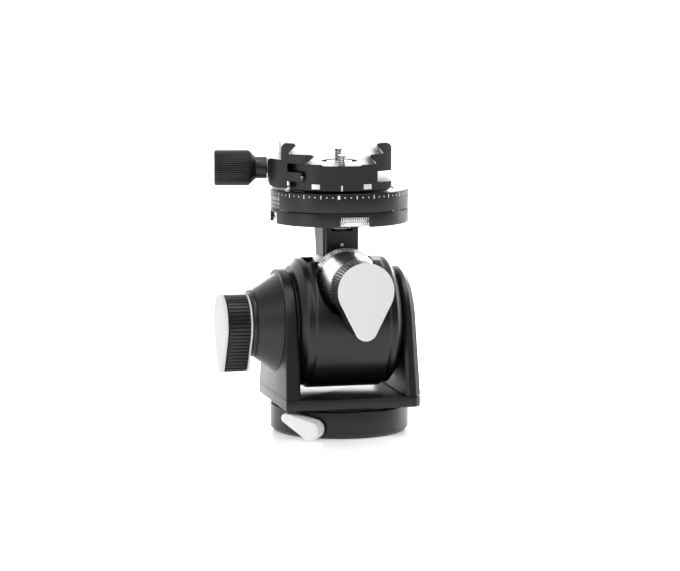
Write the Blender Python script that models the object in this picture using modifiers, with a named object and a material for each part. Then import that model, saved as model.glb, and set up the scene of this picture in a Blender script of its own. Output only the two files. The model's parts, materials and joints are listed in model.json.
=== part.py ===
"""Compact three-way pan and tilt head with a quick-release clamp on top.

The origin is the centre of the base's underside, on the base's turning axis, and +Z is up.
The front of the head, where the side-tilt knob stands out, faces -Y.  The drum tilts about an axis
along X, the stem tilts sideways about an axis along Y, and the clamp turns about Z.
"""

import math

import bmesh
import bpy
from mathutils import Matrix

MM = 0.001
GAP = 0.3 * MM
TURN = 2.0 * math.pi
MERGE = 0.00001
OVERRUN = 1.0 * MM
HAIR = 0.1 * MM

# Base
BASE_RADIUS = 28.6 * MM
BASE_HEIGHT = 10.9 * MM
BASE_FLOOR = 2.4 * MM
BASE_CHAMFER = 1.5 * MM
POST_RADIUS = 7.5 * MM
SOCKET_RADIUS = 4.1 * MM
SOCKET_ROOF = 1.0 * MM
WASHER_THICKNESS = 0.6 * MM
HUB_CLEARANCE = 0.4 * MM
RETAINER_WIDTH = 4.2 * MM
RETAINER_THICKNESS = 1.8 * MM

# Base lock
LEVER_AZIMUTH = math.radians(-32.5)
LEVER_HEIGHT = 4.6 * MM
LEVER_ROUND = 3.9 * MM
LEVER_TIP = 1.9 * MM
LEVER_REACH = 11.4 * MM
LEVER_RISE = math.radians(25.0)
LEVER_THICKNESS = 8.2 * MM
LEVER_STANDOFF = 0.7 * MM
LEVER_RECESS_DEPTH = 1.2 * MM
LEVER_RECESS_MARGIN = 0.5 * MM
LOCK_SCREW_RADIUS = 2.4 * MM
LOCK_PAD_RADIUS = 2.8 * MM
LOCK_PAD_LENGTH = 2.8 * MM
LOCK_PAD_CLEARANCE = 0.5 * MM
LOCK_BORE_END = 0.8 * MM

# Yoke
YOKE_CLEARANCE = 1.1 * MM
PLATE_THICKNESS = 4.3 * MM
YOKE_HALF_WIDTH = 28.3 * MM
YOKE_HALF_DEPTH = 26.4 * MM
YOKE_CHAMFER = 2.2 * MM
ARM_FOOT = 6.2 * MM
ARM_LEAN = 1.5 * MM
ARM_EDGE = 1.0 * MM
ARM_ROUND = 22.0 * MM
ARM_SCREW_RADIUS = 1.5 * MM
ARM_SCREW_HEAD = 2.4 * MM
ARM_SCREW_DEPTH = 8.5 * MM
ARM_SCREW_SPREAD = 17.0 * MM

# Drum and its bearings
DRUM_RADIUS = 27.3 * MM
DRUM_STEP = 1.0 * MM
DRUM_END_DROP = 4.3 * MM
DRUM_BAND_INSET = 6.0 * MM
DRUM_CLEARANCE = 1.6 * MM
DRUM_SHOULDER = 3.4 * MM
DRUM_END_CLEARANCE = 1.1 * MM
FRICTION_THICKNESS = 0.5 * MM
JOURNAL_RADIUS = 12.0 * MM
PIVOT_RADIUS = 6.0 * MM
PIVOT_LENGTH = 7.2 * MM
BUSH_WALL = 1.7 * MM
PIVOT_HEAD_RADIUS = 8.5 * MM
PIVOT_HEAD_HEIGHT = 1.5 * MM

# Tilt lock on the left arm
HOUSING_NOSE_RADIUS = 13.7 * MM
HOUSING_REACH = 10.2 * MM
HOUSING_COLLAR = 1.4 * MM
HOUSING_FLOOR = 5.5 * MM
SCREW_RADIUS = 3.0 * MM
TILT_NUT_RADIUS = 6.2 * MM
TILT_NUT_LENGTH = 8.4 * MM
PRESSURE_THICKNESS = 2.2 * MM
JOURNAL_PROUD = 1.2 * MM

# Teardrop knobs
KNOB_ROUND = 11.5 * MM
KNOB_TIP = 4.6 * MM
KNOB_REACH = 15.3 * MM
TILT_KNOB_BODY = 8.9 * MM
SIDE_KNOB_BODY = 14.1 * MM
KNOB_BODY_INSET = 0.3 * MM
KNOB_CAP = 1.5 * MM
KNOB_PLATE = 0.8 * MM
KNOB_BORE_DEPTH = 5.7 * MM

# Side tilt
SIDE_RISE = 17.6 * MM
SIDE_SWING = math.radians(30.0)
SWING_MARGIN = math.radians(2.0)
SIDE_DISC_THICKNESS = 0.5 * MM
DIAL_WALL = 1.2 * MM
DIAL_RADIUS = 13.7 * MM
DIAL_LENGTH = 18.4 * MM
DIAL_WAIST_DROP = 0.7 * MM
DIAL_NECK_DROP = 1.6 * MM
DIAL_NOSE_DROP = 3.4 * MM
SPACER_INSET = 0.7 * MM
SPACER_LENGTH = 0.4 * MM
SIDE_NUT_RADIUS = 5.0 * MM
SIDE_NUT_LENGTH = 3.8 * MM
SIDE_NUT_SEAT = 14.0 * MM

# Stem
STEM_FRONT = -8.0 * MM
STEM_BACK = 9.5 * MM
STEM_EYE_STEP = 0.3 * MM
STEM_FACE = 6.75 * MM
STEM_FACE_DEPTH = 2.5 * MM
STEM_HALF_WIDTH = 7.4 * MM
STEM_LEAN = math.radians(3.0)
STEM_EYE = 12.0 * MM
EYE_CLEARANCE = 0.4 * MM
STEM_STEP = 0.3 * MM
STEM_RISE = 23.5 * MM
STEM_FLANGE_RADIUS = 11.5 * MM
STEM_FLANGE = 1.5 * MM
INDEX_RADIUS = 0.7 * MM
INDEX_RISE = 14.3 * MM
INDEX_DEPTH = 1.0 * MM

# Upper turning unit
DISC_RADIUS = 28.4 * MM
SCALE_HEIGHT = 7.8 * MM
GUARD_HEIGHT = 5.5 * MM
GUARD_WALL = 1.3 * MM
WINDOW_ANGLE = math.radians(25.0)
WINDOW_BRIDGE = 0.9 * MM
WINDOWS = 4
LOCK_RING_INNER = 12.5 * MM
HOUSING_PLATE = 3.7 * MM
SPINDLE_RADIUS = 4.6 * MM
SPINDLE_BOSS = 14.0 * MM
SPINDLE_DROP = 3.3 * MM
CLIP_WIDTH = 1.5 * MM
CLIP_THICKNESS = 2.0 * MM

# Clamp
REST_PAN = math.radians(-11.1)
CLAMP_RADIUS = 26.5 * MM
CLAMP_CLEARANCE = 0.8 * MM
FLOOR_RISE = 10.9 * MM
GROOVE_HALF_WIDTH = 8.2 * MM
GROOVE_DEPTH = 0.5 * MM
WIDE_DEPTH = 4.4 * MM
JAW_ROUND = 2.4 * MM
NARROW_DEPTH = 4.0 * MM
WIDE_LIP = 14.1 * MM
WIDE_CORNER = 16.9 * MM
NARROW_LIP = 11.2 * MM
NARROW_CORNER = 14.0 * MM
LIP_FLAT = 0.8 * MM
CORNER_FLAT = 0.6 * MM
SLOT_RISE = 3.6 * MM
SLOT_HEIGHT = 4.3 * MM
SLOT_DEPTH = 5.8 * MM
FOOT_CHAMFER = 2.0 * MM
JAW_GAP = 1.2 * MM
JAW_SHIFT = 4.3 * MM
JAW_WALL = 2.7 * MM
JAW_BOSS_REACH = 3.0 * MM
JAW_BOSS_RISE = 1.5 * MM
JAW_CLEARANCE = 0.8 * MM
TONGUE_LENGTH = 5.4 * MM
JAW_SCREW_RADIUS = 2.0 * MM
JAW_SCREW_RISE = 7.6 * MM
JAW_SCREW_END = -9.5 * MM
CLAMP_KNOB_RADIUS = 7.25 * MM
CLAMP_KNOB_LENGTH = 14.1 * MM
CLAMP_KNOB_CONE = 2.6 * MM
CLAMP_KNOB_NECK = 4.5 * MM
CLAMP_KNOB_NECK_LENGTH = 4.9 * MM
GUIDE_RADIUS = 0.9 * MM
GUIDE_SPREAD = 9.0 * MM
GUIDE_INSET = 3.0 * MM
BOLT_HEAD_RADIUS = 5.35 * MM
BOLT_HEAD_HEIGHT = 2.8 * MM
BOLT_RADIUS = 2.5 * MM
BOLT_RECESS = 7.4 * MM
PIN_RADIUS = 1.5 * MM
PIN_LENGTH = 7.4 * MM
PIN_RISE = 3.7 * MM
FRONT_PIN_Y = -21.3 * MM
REAR_PIN_Y = 11.5 * MM
PIN_HOLE_FLOOR = 1.3 * MM
SPRING_WIRE = 0.25 * MM
SPRING_TURNS = 4
SPRING_POINTS = 8

# Sizes that follow from the sizes above
HUB_RADIUS = BASE_RADIUS - 8.7 * MM
PLATE_BOTTOM = BASE_HEIGHT + YOKE_CLEARANCE
PLATE_TOP = PLATE_BOTTOM + PLATE_THICKNESS
ARM_BOTTOM = PLATE_TOP + GAP
ARM_INNER = YOKE_HALF_WIDTH - ARM_FOOT
TILT_HEIGHT = PLATE_TOP + DRUM_CLEARANCE + DRUM_RADIUS
SIDE_HEIGHT = TILT_HEIGHT + SIDE_RISE
STEM_TOP = SIDE_HEIGHT + STEM_RISE
ARM_TOP = TILT_HEIGHT + ARM_ROUND
FRICTION_RADIUS = ARM_ROUND - 2.0 * MM
HOUSING_ROOT_RADIUS = ARM_ROUND - 1.8 * MM
HOUSING_NOSE_X = -(YOKE_HALF_WIDTH + HOUSING_REACH)
DRUM_HALF = ARM_INNER - DRUM_END_CLEARANCE
DRUM_END_RADIUS = DRUM_RADIUS - DRUM_END_DROP
DRUM_BAND = DRUM_HALF - DRUM_BAND_INSET
HUB_BOTTOM = BASE_FLOOR + WASHER_THICKNESS + 2.0 * GAP
HUB_TOP = PLATE_BOTTOM - GAP
RETAINER_TOP = HUB_TOP - GAP
RETAINER_BOTTOM = RETAINER_TOP - RETAINER_THICKNESS
RETAINER_RADIUS = POST_RADIUS + GAP + RETAINER_WIDTH
POST_TOP = RETAINER_TOP
SLOT_FRONT = STEM_FRONT - SIDE_DISC_THICKNESS - 2.0 * GAP
SLOT_BACK = STEM_BACK + GAP
DIAL_SEAT = SLOT_FRONT - DIAL_WALL
DIAL_BACK = DIAL_SEAT - GAP
DIAL_FRONT = DIAL_BACK - DIAL_LENGTH
SPACER_BACK = DIAL_FRONT - GAP
SPACER_FRONT = SPACER_BACK - SPACER_LENGTH
SIDE_KNOB_BACK = SPACER_FRONT - GAP
DIAL_WAIST_RADIUS = DIAL_RADIUS - DIAL_WAIST_DROP
DIAL_NECK_RADIUS = DIAL_RADIUS - DIAL_NECK_DROP
DIAL_NOSE_RADIUS = DIAL_RADIUS - DIAL_NOSE_DROP
SPACER_RADIUS = DIAL_NOSE_RADIUS - SPACER_INSET
TILT_KNOB_BACK = HOUSING_NOSE_X - GAP
DISC_BOTTOM = STEM_TOP + GAP
GUARD_TOP = DISC_BOTTOM + GUARD_HEIGHT
SCALE_BOTTOM = GUARD_TOP + GAP
DISC_TOP = SCALE_BOTTOM + SCALE_HEIGHT
CLAMP_BOTTOM = DISC_TOP + CLAMP_CLEARANCE
CLAMP_FLOOR = CLAMP_BOTTOM + FLOOR_RISE
LEDGE = CLAMP_FLOOR + NARROW_DEPTH
JAW_TOP = LEDGE + WIDE_DEPTH
HOUSING_RADIUS = DISC_RADIUS - 6.4 * MM
SLOT_LOW = CLAMP_BOTTOM + SLOT_RISE
SLOT_HIGH = SLOT_LOW + SLOT_HEIGHT
BODY_RIGHT = CLAMP_RADIUS - 6.0 * MM
BODY_LEFT = -(CLAMP_RADIUS - 5.8 * MM)
JAW_BOSS_LEFT = -(CLAMP_RADIUS + JAW_BOSS_REACH)
JAW_BOSS_TOP = CLAMP_FLOOR + JAW_BOSS_RISE
JAW_BOTTOM = CLAMP_BOTTOM + JAW_CLEARANCE
JAW_SCREW_HEIGHT = CLAMP_BOTTOM + JAW_SCREW_RISE
LOCK_RING_TOP = GUARD_TOP - WINDOW_BRIDGE - GAP
HOUSING_UNDERSIDE = LOCK_RING_TOP + GAP
HOUSING_TOP = HOUSING_UNDERSIDE + HOUSING_PLATE
PAN_WASHER_BOTTOM = HOUSING_TOP + GAP
SPINDLE_FLANGE_BOTTOM = PAN_WASHER_BOTTOM + WASHER_THICKNESS + GAP
SPINDLE_FLANGE_TOP = DISC_TOP - GAP
SPINDLE_TOP = CLAMP_BOTTOM - GAP
SPINDLE_BOTTOM = STEM_TOP - SPINDLE_DROP
BOLT_TOP = CLAMP_FLOOR - GROOVE_DEPTH - HAIR
BOLT_SEAT = BOLT_TOP - BOLT_HEAD_HEIGHT
JAW_INNER = BODY_LEFT - JAW_GAP
PIN_TOP = CLAMP_FLOOR + PIN_RISE
PIN_BOTTOM = PIN_TOP - PIN_LENGTH

# Colour, metallic, roughness
BLACK_ANODISED = ((0.028, 0.028, 0.030), 0.6, 0.38)
SILVER = ((0.80, 0.80, 0.80), 0.8, 0.3)
WHITE_CAP = ((0.72, 0.72, 0.73), 0.3, 0.35)
STEEL = ((0.55, 0.55, 0.56), 1.0, 0.28)
BRASS = ((0.70, 0.52, 0.24), 1.0, 0.32)
POLYMER = ((0.10, 0.10, 0.10), 0.0, 0.55)
WHITE_DOT = ((0.85, 0.85, 0.85), 0.0, 0.5)

for old in list(bpy.data.objects):
    bpy.data.objects.remove(old, do_unlink=True)

parts = bpy.data.collections.new("pan_tilt_head")
bpy.context.scene.collection.children.link(parts)
cutters = bpy.data.collections.new("cutters")
bpy.context.scene.collection.children.link(cutters)

# Axis names to the turn that lays a piece modelled along Z on that axis
AXIS_TURN = {
    "X": Matrix.Rotation(TURN / 4.0, 4, "Y"),
    "Y": Matrix.Rotation(-TURN / 4.0, 4, "X"),
    "Z": Matrix.Identity(4),
}

# Plane names to the frame whose third axis is the direction of extrusion
PLANE_FRAME = {
    "XY": Matrix.Identity(4),
    "YZ": Matrix(((0, 0, 1, 0), (1, 0, 0, 0), (0, 1, 0, 0), (0, 0, 0, 1))),
    "XZ": Matrix(((1, 0, 0, 0), (0, 0, -1, 0), (0, 1, 0, 0), (0, 0, 0, 1))),
}


def finish_material(name, finish):
    """A Principled material for one piece."""
    colour, metallic, roughness = finish
    material = bpy.data.materials.new(name)
    material.use_nodes = True
    shader = material.node_tree.nodes["Principled BSDF"]
    shader.inputs["Base Color"].default_value = (*colour, 1.0)
    shader.inputs["Metallic"].default_value = metallic
    shader.inputs["Roughness"].default_value = roughness
    return material


def place(name, mesh, finish, pivot):
    """Link a mesh as a piece, or as a hidden cutter when it has no finish."""
    piece = bpy.data.objects.new(name, mesh)
    if finish is None:
        cutters.objects.link(piece)
        piece.hide_render = True
        piece.display_type = "WIRE"
    else:
        parts.objects.link(piece)
        mesh.materials.append(finish_material(name, finish))
    if pivot is not None:
        piece.parent = pivot
        if not pivot.name.endswith("_frame"):
            piece.matrix_parent_inverse = Matrix.Translation(-pivot.location)
    return piece


def pivot_at(name, location, parent=None, turn=0.0):
    """An empty on a joint's axis.  One whose name ends in _frame holds pieces in its own frame."""
    empty = bpy.data.objects.new(name, None)
    empty.location = location
    empty.rotation_euler = (0.0, 0.0, turn)
    if parent is not None:
        empty.parent = parent
        empty.matrix_parent_inverse = Matrix.Translation(-parent.location)
    parts.objects.link(empty)
    return empty


def turned(name, profile, finish, pivot=None, axis="Z", at=(0.0, 0.0, 0.0), closed=True, sides=36):
    """A turned piece.  The profile holds (radius, height) points down the outer side, top first."""
    mesh = bpy.data.meshes.new(name)
    corners = [(radius, 0.0, height) for radius, height in profile]
    edges = [(i, i + 1) for i in range(len(corners) - 1)]
    if closed:
        edges.append((len(corners) - 1, 0))
    mesh.from_pydata(corners, edges, [])
    piece = place(name, mesh, finish, pivot)
    piece.matrix_basis = Matrix.Translation(at) @ AXIS_TURN[axis]
    screw = piece.modifiers.new("turn", "SCREW")
    screw.steps = sides
    screw.render_steps = sides
    screw.use_merge_vertices = True
    screw.merge_threshold = MERGE
    screw.use_smooth_shade = True
    return piece


def rod(name, radius, low, high, finish, pivot=None, axis="Z", at=(0.0, 0.0, 0.0), sides=28):
    """A plain round bar between two stations on its axis."""
    profile = [(0.0, high), (radius, high), (radius, low), (0.0, low)]
    return turned(name, profile, finish, pivot, axis, at, False, sides)


def ring(name, inner, outer, low, high, finish, pivot=None, axis="Z", at=(0.0, 0.0, 0.0), sides=36):
    """A flat ring between two stations on its axis."""
    profile = [(inner, high), (outer, high), (outer, low), (inner, low)]
    return turned(name, profile, finish, pivot, axis, at, True, sides)


def prism(name, outline, low, high, finish, pivot=None, plane="XY"):
    """A flat outline given thickness along the third axis of its plane."""
    curve = bpy.data.curves.new(name, "CURVE")
    curve.dimensions = "2D"
    curve.fill_mode = "BOTH"
    curve.extrude = (high - low) / 2.0
    spline = curve.splines.new("POLY")
    spline.points.add(len(outline) - 1)
    for point, (across, up) in zip(spline.points, outline):
        point.co = (across, up, 0.0, 1.0)
    spline.use_cyclic_u = True
    source = bpy.data.objects.new(name + "_outline", curve)
    bpy.context.scene.collection.objects.link(source)
    bpy.context.view_layer.update()
    flat = source.evaluated_get(bpy.context.evaluated_depsgraph_get())
    mesh = bpy.data.meshes.new_from_object(flat)
    mesh.transform(Matrix.Translation((0.0, 0.0, (low + high) / 2.0)))
    mesh.transform(PLANE_FRAME[plane])
    weld(mesh)
    bpy.data.objects.remove(source, do_unlink=True)
    bpy.data.curves.remove(curve)
    mesh.materials.clear()
    return place(name, mesh, finish, pivot)


def weld(mesh):
    """Close a curve's loose caps and face every side outwards."""
    work = bmesh.new()
    work.from_mesh(mesh)
    bmesh.ops.remove_doubles(work, verts=work.verts, dist=MERGE)
    bmesh.ops.recalc_face_normals(work, faces=work.faces)
    work.to_mesh(mesh)
    work.free()


def box(name, low, high, finish, pivot=None):
    """A box between two corners."""
    mesh = bpy.data.meshes.new(name)
    work = bmesh.new()
    centre = [(a + b) / 2.0 for a, b in zip(low, high)]
    size = [b - a for a, b in zip(low, high)]
    stretch = Matrix.Translation(centre) @ Matrix.Diagonal((*size, 1.0))
    bmesh.ops.create_cube(work, size=1.0, matrix=stretch)
    work.to_mesh(mesh)
    work.free()
    return place(name, mesh, finish, pivot)


def boolean(piece, tool, operation):
    """Cut, keep or join a piece with a tool, which then stays hidden."""
    step = piece.modifiers.new(tool.name, "BOOLEAN")
    step.operation = operation
    step.solver = "EXACT"
    step.object = tool


def stepped_cutter(name, steps, end, pivot, axis, at=(0.0, 0.0, 0.0), sides=28):
    """A cutter turned in steps.  steps holds (radius, station), from the highest station down."""
    profile = [(0.0, steps[0][1])]
    stations = [station for radius, station in steps[1:]] + [end]
    for (radius, station), following in zip(steps, stations):
        profile += [(radius, station), (radius, following)]
    profile.append((0.0, end))
    return turned(name, profile, None, pivot, axis, at, False, sides)


def cut(piece, tool):
    boolean(piece, tool, "DIFFERENCE")


def arc(centre, radius, start, end, steps):
    """Points on a circle from one angle to another."""
    span = [start + (end - start) * i / steps for i in range(steps + 1)]
    return [(centre[0] + radius * math.cos(a), centre[1] + radius * math.sin(a)) for a in span]


def teardrop(round_radius, tip_radius, reach, direction, steps=14):
    """A round end about the origin, drawn out to a small round tip."""
    spread = math.acos((round_radius - tip_radius) / reach)
    tip = (reach * math.cos(direction), reach * math.sin(direction))
    around = arc((0.0, 0.0), round_radius, direction + spread, direction + TURN - spread, 2 * steps)
    point = arc(tip, tip_radius, direction - spread, direction + spread, steps)
    return around + point


def in_span(low, high, margin=2.0 * OVERRUN):
    """A cutter's span, run past both faces."""
    return low - margin, high + margin


# ---------------------------------------------------------------- base
post_bore = POST_RADIUS + GAP
hub_bore = HUB_RADIUS + HUB_CLEARANCE
lever_frame = pivot_at("lever_frame", (0.0, 0.0, LEVER_HEIGHT), None, LEVER_AZIMUTH)
lever_back = -(BASE_RADIUS + LEVER_STANDOFF)
lever_front = lever_back - LEVER_THICKNESS
lock_bore = LOCK_PAD_RADIUS + GAP


def make_base():
    """Round base with its tripod socket, thrust washer and the ring that keeps the yoke's hub on."""
    body = turned(
        "base_body",
        [
            (hub_bore, BASE_HEIGHT),
            (BASE_RADIUS, BASE_HEIGHT),
            (BASE_RADIUS, BASE_CHAMFER),
            (BASE_RADIUS - BASE_CHAMFER, 0.0),
            (post_bore, 0.0),
            (post_bore, BASE_FLOOR),
            (hub_bore, BASE_FLOOR),
        ],
        BLACK_ANODISED,
        sides=44,
    )
    recess_radius = LEVER_ROUND + LEVER_RECESS_MARGIN
    steps = [(lock_bore, LOCK_BORE_END - hub_bore), (recess_radius, LEVER_RECESS_DEPTH - BASE_RADIUS)]
    cut(body, stepped_cutter("lock_bore_cut", steps, lever_back, lever_frame, "Y", sides=20))
    turned(
        "tripod_socket_post",
        [
            (0.0, POST_TOP),
            (POST_RADIUS, POST_TOP),
            (POST_RADIUS, GAP),
            (SOCKET_RADIUS, GAP),
            (SOCKET_RADIUS, POST_TOP - SOCKET_ROOF),
            (0.0, POST_TOP - SOCKET_ROOF),
        ],
        BRASS,
        closed=False,
        sides=24,
    )
    washer_low = BASE_FLOOR + GAP
    washer_high = washer_low + WASHER_THICKNESS
    ring("base_thrust_washer", post_bore, HUB_RADIUS, washer_low, washer_high, POLYMER, sides=24)
    ring("hub_retaining_ring", post_bore, RETAINER_RADIUS, RETAINER_BOTTOM, RETAINER_TOP, STEEL, sides=24)


def make_base_lock():
    """Teardrop lever whose screw presses a pad on the yoke's hub."""
    pad_inner = -(HUB_RADIUS + LOCK_PAD_CLEARANCE)
    pad_outer = pad_inner - LOCK_PAD_LENGTH
    rod("base_lock_pad", LOCK_PAD_RADIUS, pad_outer, pad_inner, POLYMER, lever_frame, "Y", sides=16)
    socket_depth = LEVER_THICKNESS / 2.0
    screw_inner = pad_outer - 2.0 * GAP
    screw_outer = lever_back - socket_depth + GAP
    rod("base_lock_screw", LOCK_SCREW_RADIUS, screw_outer, screw_inner, STEEL, lever_frame, "Y", sides=16)
    outline = teardrop(LEVER_ROUND, LEVER_TIP, LEVER_REACH, TURN / 2.0 - LEVER_RISE, 8)
    lever = prism("base_lock_lever", outline, -lever_back, -lever_front, WHITE_CAP, lever_frame, "XZ")
    socket_radius = LOCK_SCREW_RADIUS + GAP
    socket_span = (lever_back - socket_depth, lever_back + OVERRUN)
    socket = rod("lever_socket_cut", socket_radius, *socket_span, None, lever_frame, "Y", sides=16)
    cut(lever, socket)


# ---------------------------------------------------------------- yoke
yoke_pivot = pivot_at("yoke_pivot", (0.0, 0.0, PLATE_BOTTOM))
arm_middle = (ARM_INNER + YOKE_HALF_WIDTH) / 2.0
screw_places = [(x, y) for x in (-arm_middle, arm_middle) for y in (-ARM_SCREW_SPREAD, ARM_SCREW_SPREAD)]


def arm_outer_at(height):
    """Distance of an arm's outer face from the middle, which leans in towards the top."""
    return YOKE_HALF_WIDTH - ARM_LEAN * (height - ARM_BOTTOM) / (ARM_TOP - ARM_BOTTOM)


def arm_outline():
    """The arm seen from the side: a wide foot drawn up to a round top about the tilt axis."""
    foot_distance = math.hypot(YOKE_HALF_DEPTH, TILT_HEIGHT - ARM_BOTTOM)
    foot_angle = math.atan2(ARM_BOTTOM - TILT_HEIGHT, YOKE_HALF_DEPTH)
    start = foot_angle + math.acos(min(1.0, ARM_ROUND / foot_distance))
    top = arc((0.0, TILT_HEIGHT), ARM_ROUND, start, TURN / 2.0 - start, 24)
    return [(-YOKE_HALF_DEPTH, ARM_BOTTOM), (YOKE_HALF_DEPTH, ARM_BOTTOM)] + top


def make_arm(side, name, bore_radius, chamfer):
    """One arm.  side is -1 on the left and 1 on the right."""
    low, high = sorted((side * ARM_INNER, side * YOKE_HALF_WIDTH))
    arm = prism(name, arm_outline(), low, high, BLACK_ANODISED, yoke_pivot, "YZ")
    work = bmesh.new()
    work.from_mesh(arm.data)
    outer = [v for v in work.verts if abs(v.co.x) > ARM_INNER + HAIR]
    for vertex in outer:
        vertex.co.x = side * arm_outer_at(vertex.co.z)
    rim = [
        e
        for e in work.edges
        if all(abs(v.co.x) > ARM_INNER + HAIR for v in e.verts)
        and any(v.co.z > ARM_BOTTOM + HAIR for v in e.verts)
        and e.calc_face_angle(0.0) > math.radians(60.0)
    ]
    bmesh.ops.bevel(work, geom=rim, offset=chamfer, segments=1, affect="EDGES")
    work.to_mesh(arm.data)
    work.free()
    span = in_span(low, high)
    cut(arm, rod(name + "_bore_cut", bore_radius, *span, None, yoke_pivot, "X", tilt_at, 32))
    for number, (x, y) in enumerate(p for p in screw_places if p[0] * side > 0.0):
        span = (ARM_BOTTOM - OVERRUN, ARM_BOTTOM + ARM_SCREW_DEPTH + GAP)
        radius = ARM_SCREW_RADIUS + GAP
        at = (x, y, 0.0)
        cut(arm, rod(f"{name}_hole_{number}_cut", radius, *span, None, yoke_pivot, "Z", at, 12))


def make_yoke():
    """Bottom plate, its hub in the base, the two arms and the screws that hold them."""
    turned(
        "yoke_hub",
        [
            (RETAINER_RADIUS + GAP, HUB_TOP),
            (HUB_RADIUS, HUB_TOP),
            (HUB_RADIUS, HUB_BOTTOM),
            (post_bore, HUB_BOTTOM),
            (post_bore, RETAINER_BOTTOM - GAP),
            (RETAINER_RADIUS + GAP, RETAINER_BOTTOM - GAP),
        ],
        STEEL,
        yoke_pivot,
        sides=28,
    )
    outline = [
        (-YOKE_HALF_WIDTH, -YOKE_HALF_DEPTH),
        (YOKE_HALF_WIDTH - YOKE_CHAMFER, -YOKE_HALF_DEPTH),
        (YOKE_HALF_WIDTH, YOKE_CHAMFER - YOKE_HALF_DEPTH),
        (YOKE_HALF_WIDTH, YOKE_HALF_DEPTH),
        (-YOKE_HALF_WIDTH, YOKE_HALF_DEPTH),
    ]
    plate = prism("yoke_plate", outline, PLATE_BOTTOM, PLATE_TOP, BLACK_ANODISED, yoke_pivot)
    head_top = PLATE_BOTTOM + PLATE_THICKNESS / 2.0
    head_bottom = PLATE_BOTTOM + GAP
    for number, (x, y) in enumerate(screw_places):
        steps = [(ARM_SCREW_RADIUS + GAP, PLATE_TOP + OVERRUN), (ARM_SCREW_HEAD + GAP, head_top + GAP)]
        end = PLATE_BOTTOM - OVERRUN
        at = (x, y, 0.0)
        cut(plate, stepped_cutter(f"plate_hole_{number}_cut", steps, end, yoke_pivot, "Z", at, 12))
        screw = [
            (0.0, ARM_BOTTOM + ARM_SCREW_DEPTH),
            (ARM_SCREW_RADIUS, ARM_BOTTOM + ARM_SCREW_DEPTH),
            (ARM_SCREW_RADIUS, head_top),
            (ARM_SCREW_HEAD, head_top),
            (ARM_SCREW_HEAD, head_bottom),
            (0.0, head_bottom),
        ]
        turned(f"arm_screw_{number + 1}", screw, STEEL, yoke_pivot, "Z", at, False, 12)
    make_arm(-1, "left_arm", JOURNAL_RADIUS + GAP, ARM_EDGE)
    make_arm(1, "right_arm", PIVOT_RADIUS + GAP, YOKE_CHAMFER)


def make_right_pivot():
    """Headed pin in the right arm, its bush in the drum and the friction washer between."""
    seat = arm_outer_at(TILT_HEIGHT - PIVOT_HEAD_RADIUS) + GAP
    profile = [
        (0.0, seat + PIVOT_HEAD_HEIGHT),
        (PIVOT_HEAD_RADIUS, seat + PIVOT_HEAD_HEIGHT),
        (PIVOT_HEAD_RADIUS, seat),
        (PIVOT_RADIUS, seat),
        (PIVOT_RADIUS, DRUM_HALF - PIVOT_LENGTH),
        (0.0, DRUM_HALF - PIVOT_LENGTH),
    ]
    turned("right_pivot_pin", profile, STEEL, yoke_pivot, "X", tilt_at, False, 28)
    inner = PIVOT_RADIUS + GAP
    bush_span = (DRUM_HALF - PIVOT_LENGTH, DRUM_HALF - GAP)
    ring("right_pivot_bush", inner, inner + BUSH_WALL, *bush_span, BRASS, tilt_pivot, "X", tilt_at, 24)
    washer_span = (DRUM_HALF + GAP, DRUM_HALF + GAP + FRICTION_THICKNESS)
    ring("right_friction_washer", inner, FRICTION_RADIUS, *washer_span, POLYMER, tilt_pivot, "X", tilt_at, 24)


# ---------------------------------------------------------------- tilt drum
tilt_pivot = pivot_at("tilt_pivot", (0.0, 0.0, TILT_HEIGHT), yoke_pivot)
tilt_at = (0.0, 0.0, TILT_HEIGHT)
side_at = (0.0, 0.0, SIDE_HEIGHT)
screw_bore = SCREW_RADIUS + GAP


def make_drum():
    """The drum between the arms, slotted on top for the stem's eye."""
    shoulder = DRUM_BAND + DRUM_SHOULDER
    shoulder_radius = DRUM_RADIUS - DRUM_STEP
    half = [
        (DRUM_END_RADIUS, DRUM_HALF),
        (shoulder_radius, shoulder),
        (shoulder_radius, DRUM_BAND + DRUM_STEP),
        (DRUM_RADIUS, DRUM_BAND),
    ]
    mirrored = [(radius, -x) for radius, x in reversed(half)]
    profile = [(0.0, DRUM_HALF)] + half + mirrored + [(0.0, -DRUM_HALF)]
    drum = turned("tilt_drum", profile, BLACK_ANODISED, tilt_pivot, "X", tilt_at, False, 48)
    cut(drum, prism("stem_slot_cut", slot_outline(), -SLOT_BACK, -SLOT_FRONT, None, tilt_pivot, "XZ"))
    reach = DRUM_RADIUS + 5.0 * OVERRUN
    steps = [(SIDE_NUT_RADIUS + GAP, reach), (screw_bore, SIDE_NUT_SEAT), (DIAL_RADIUS + GAP, DIAL_SEAT)]
    cut(drum, stepped_cutter("side_bore_cut", steps, -reach, tilt_pivot, "Y", side_at, 32))
    nut_span = (-DRUM_HALF - OVERRUN, -DRUM_HALF + TILT_NUT_LENGTH + 2.0 * GAP)
    cut(drum, rod("tilt_nut_cut", TILT_NUT_RADIUS + GAP, *nut_span, None, tilt_pivot, "X", tilt_at, 24))
    bush_bore = PIVOT_RADIUS + BUSH_WALL + 2.0 * GAP
    bush_span = (DRUM_HALF - PIVOT_LENGTH - GAP, DRUM_HALF + OVERRUN)
    cut(drum, rod("bush_bore_cut", bush_bore, *bush_span, None, tilt_pivot, "X", tilt_at, 28))


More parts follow.
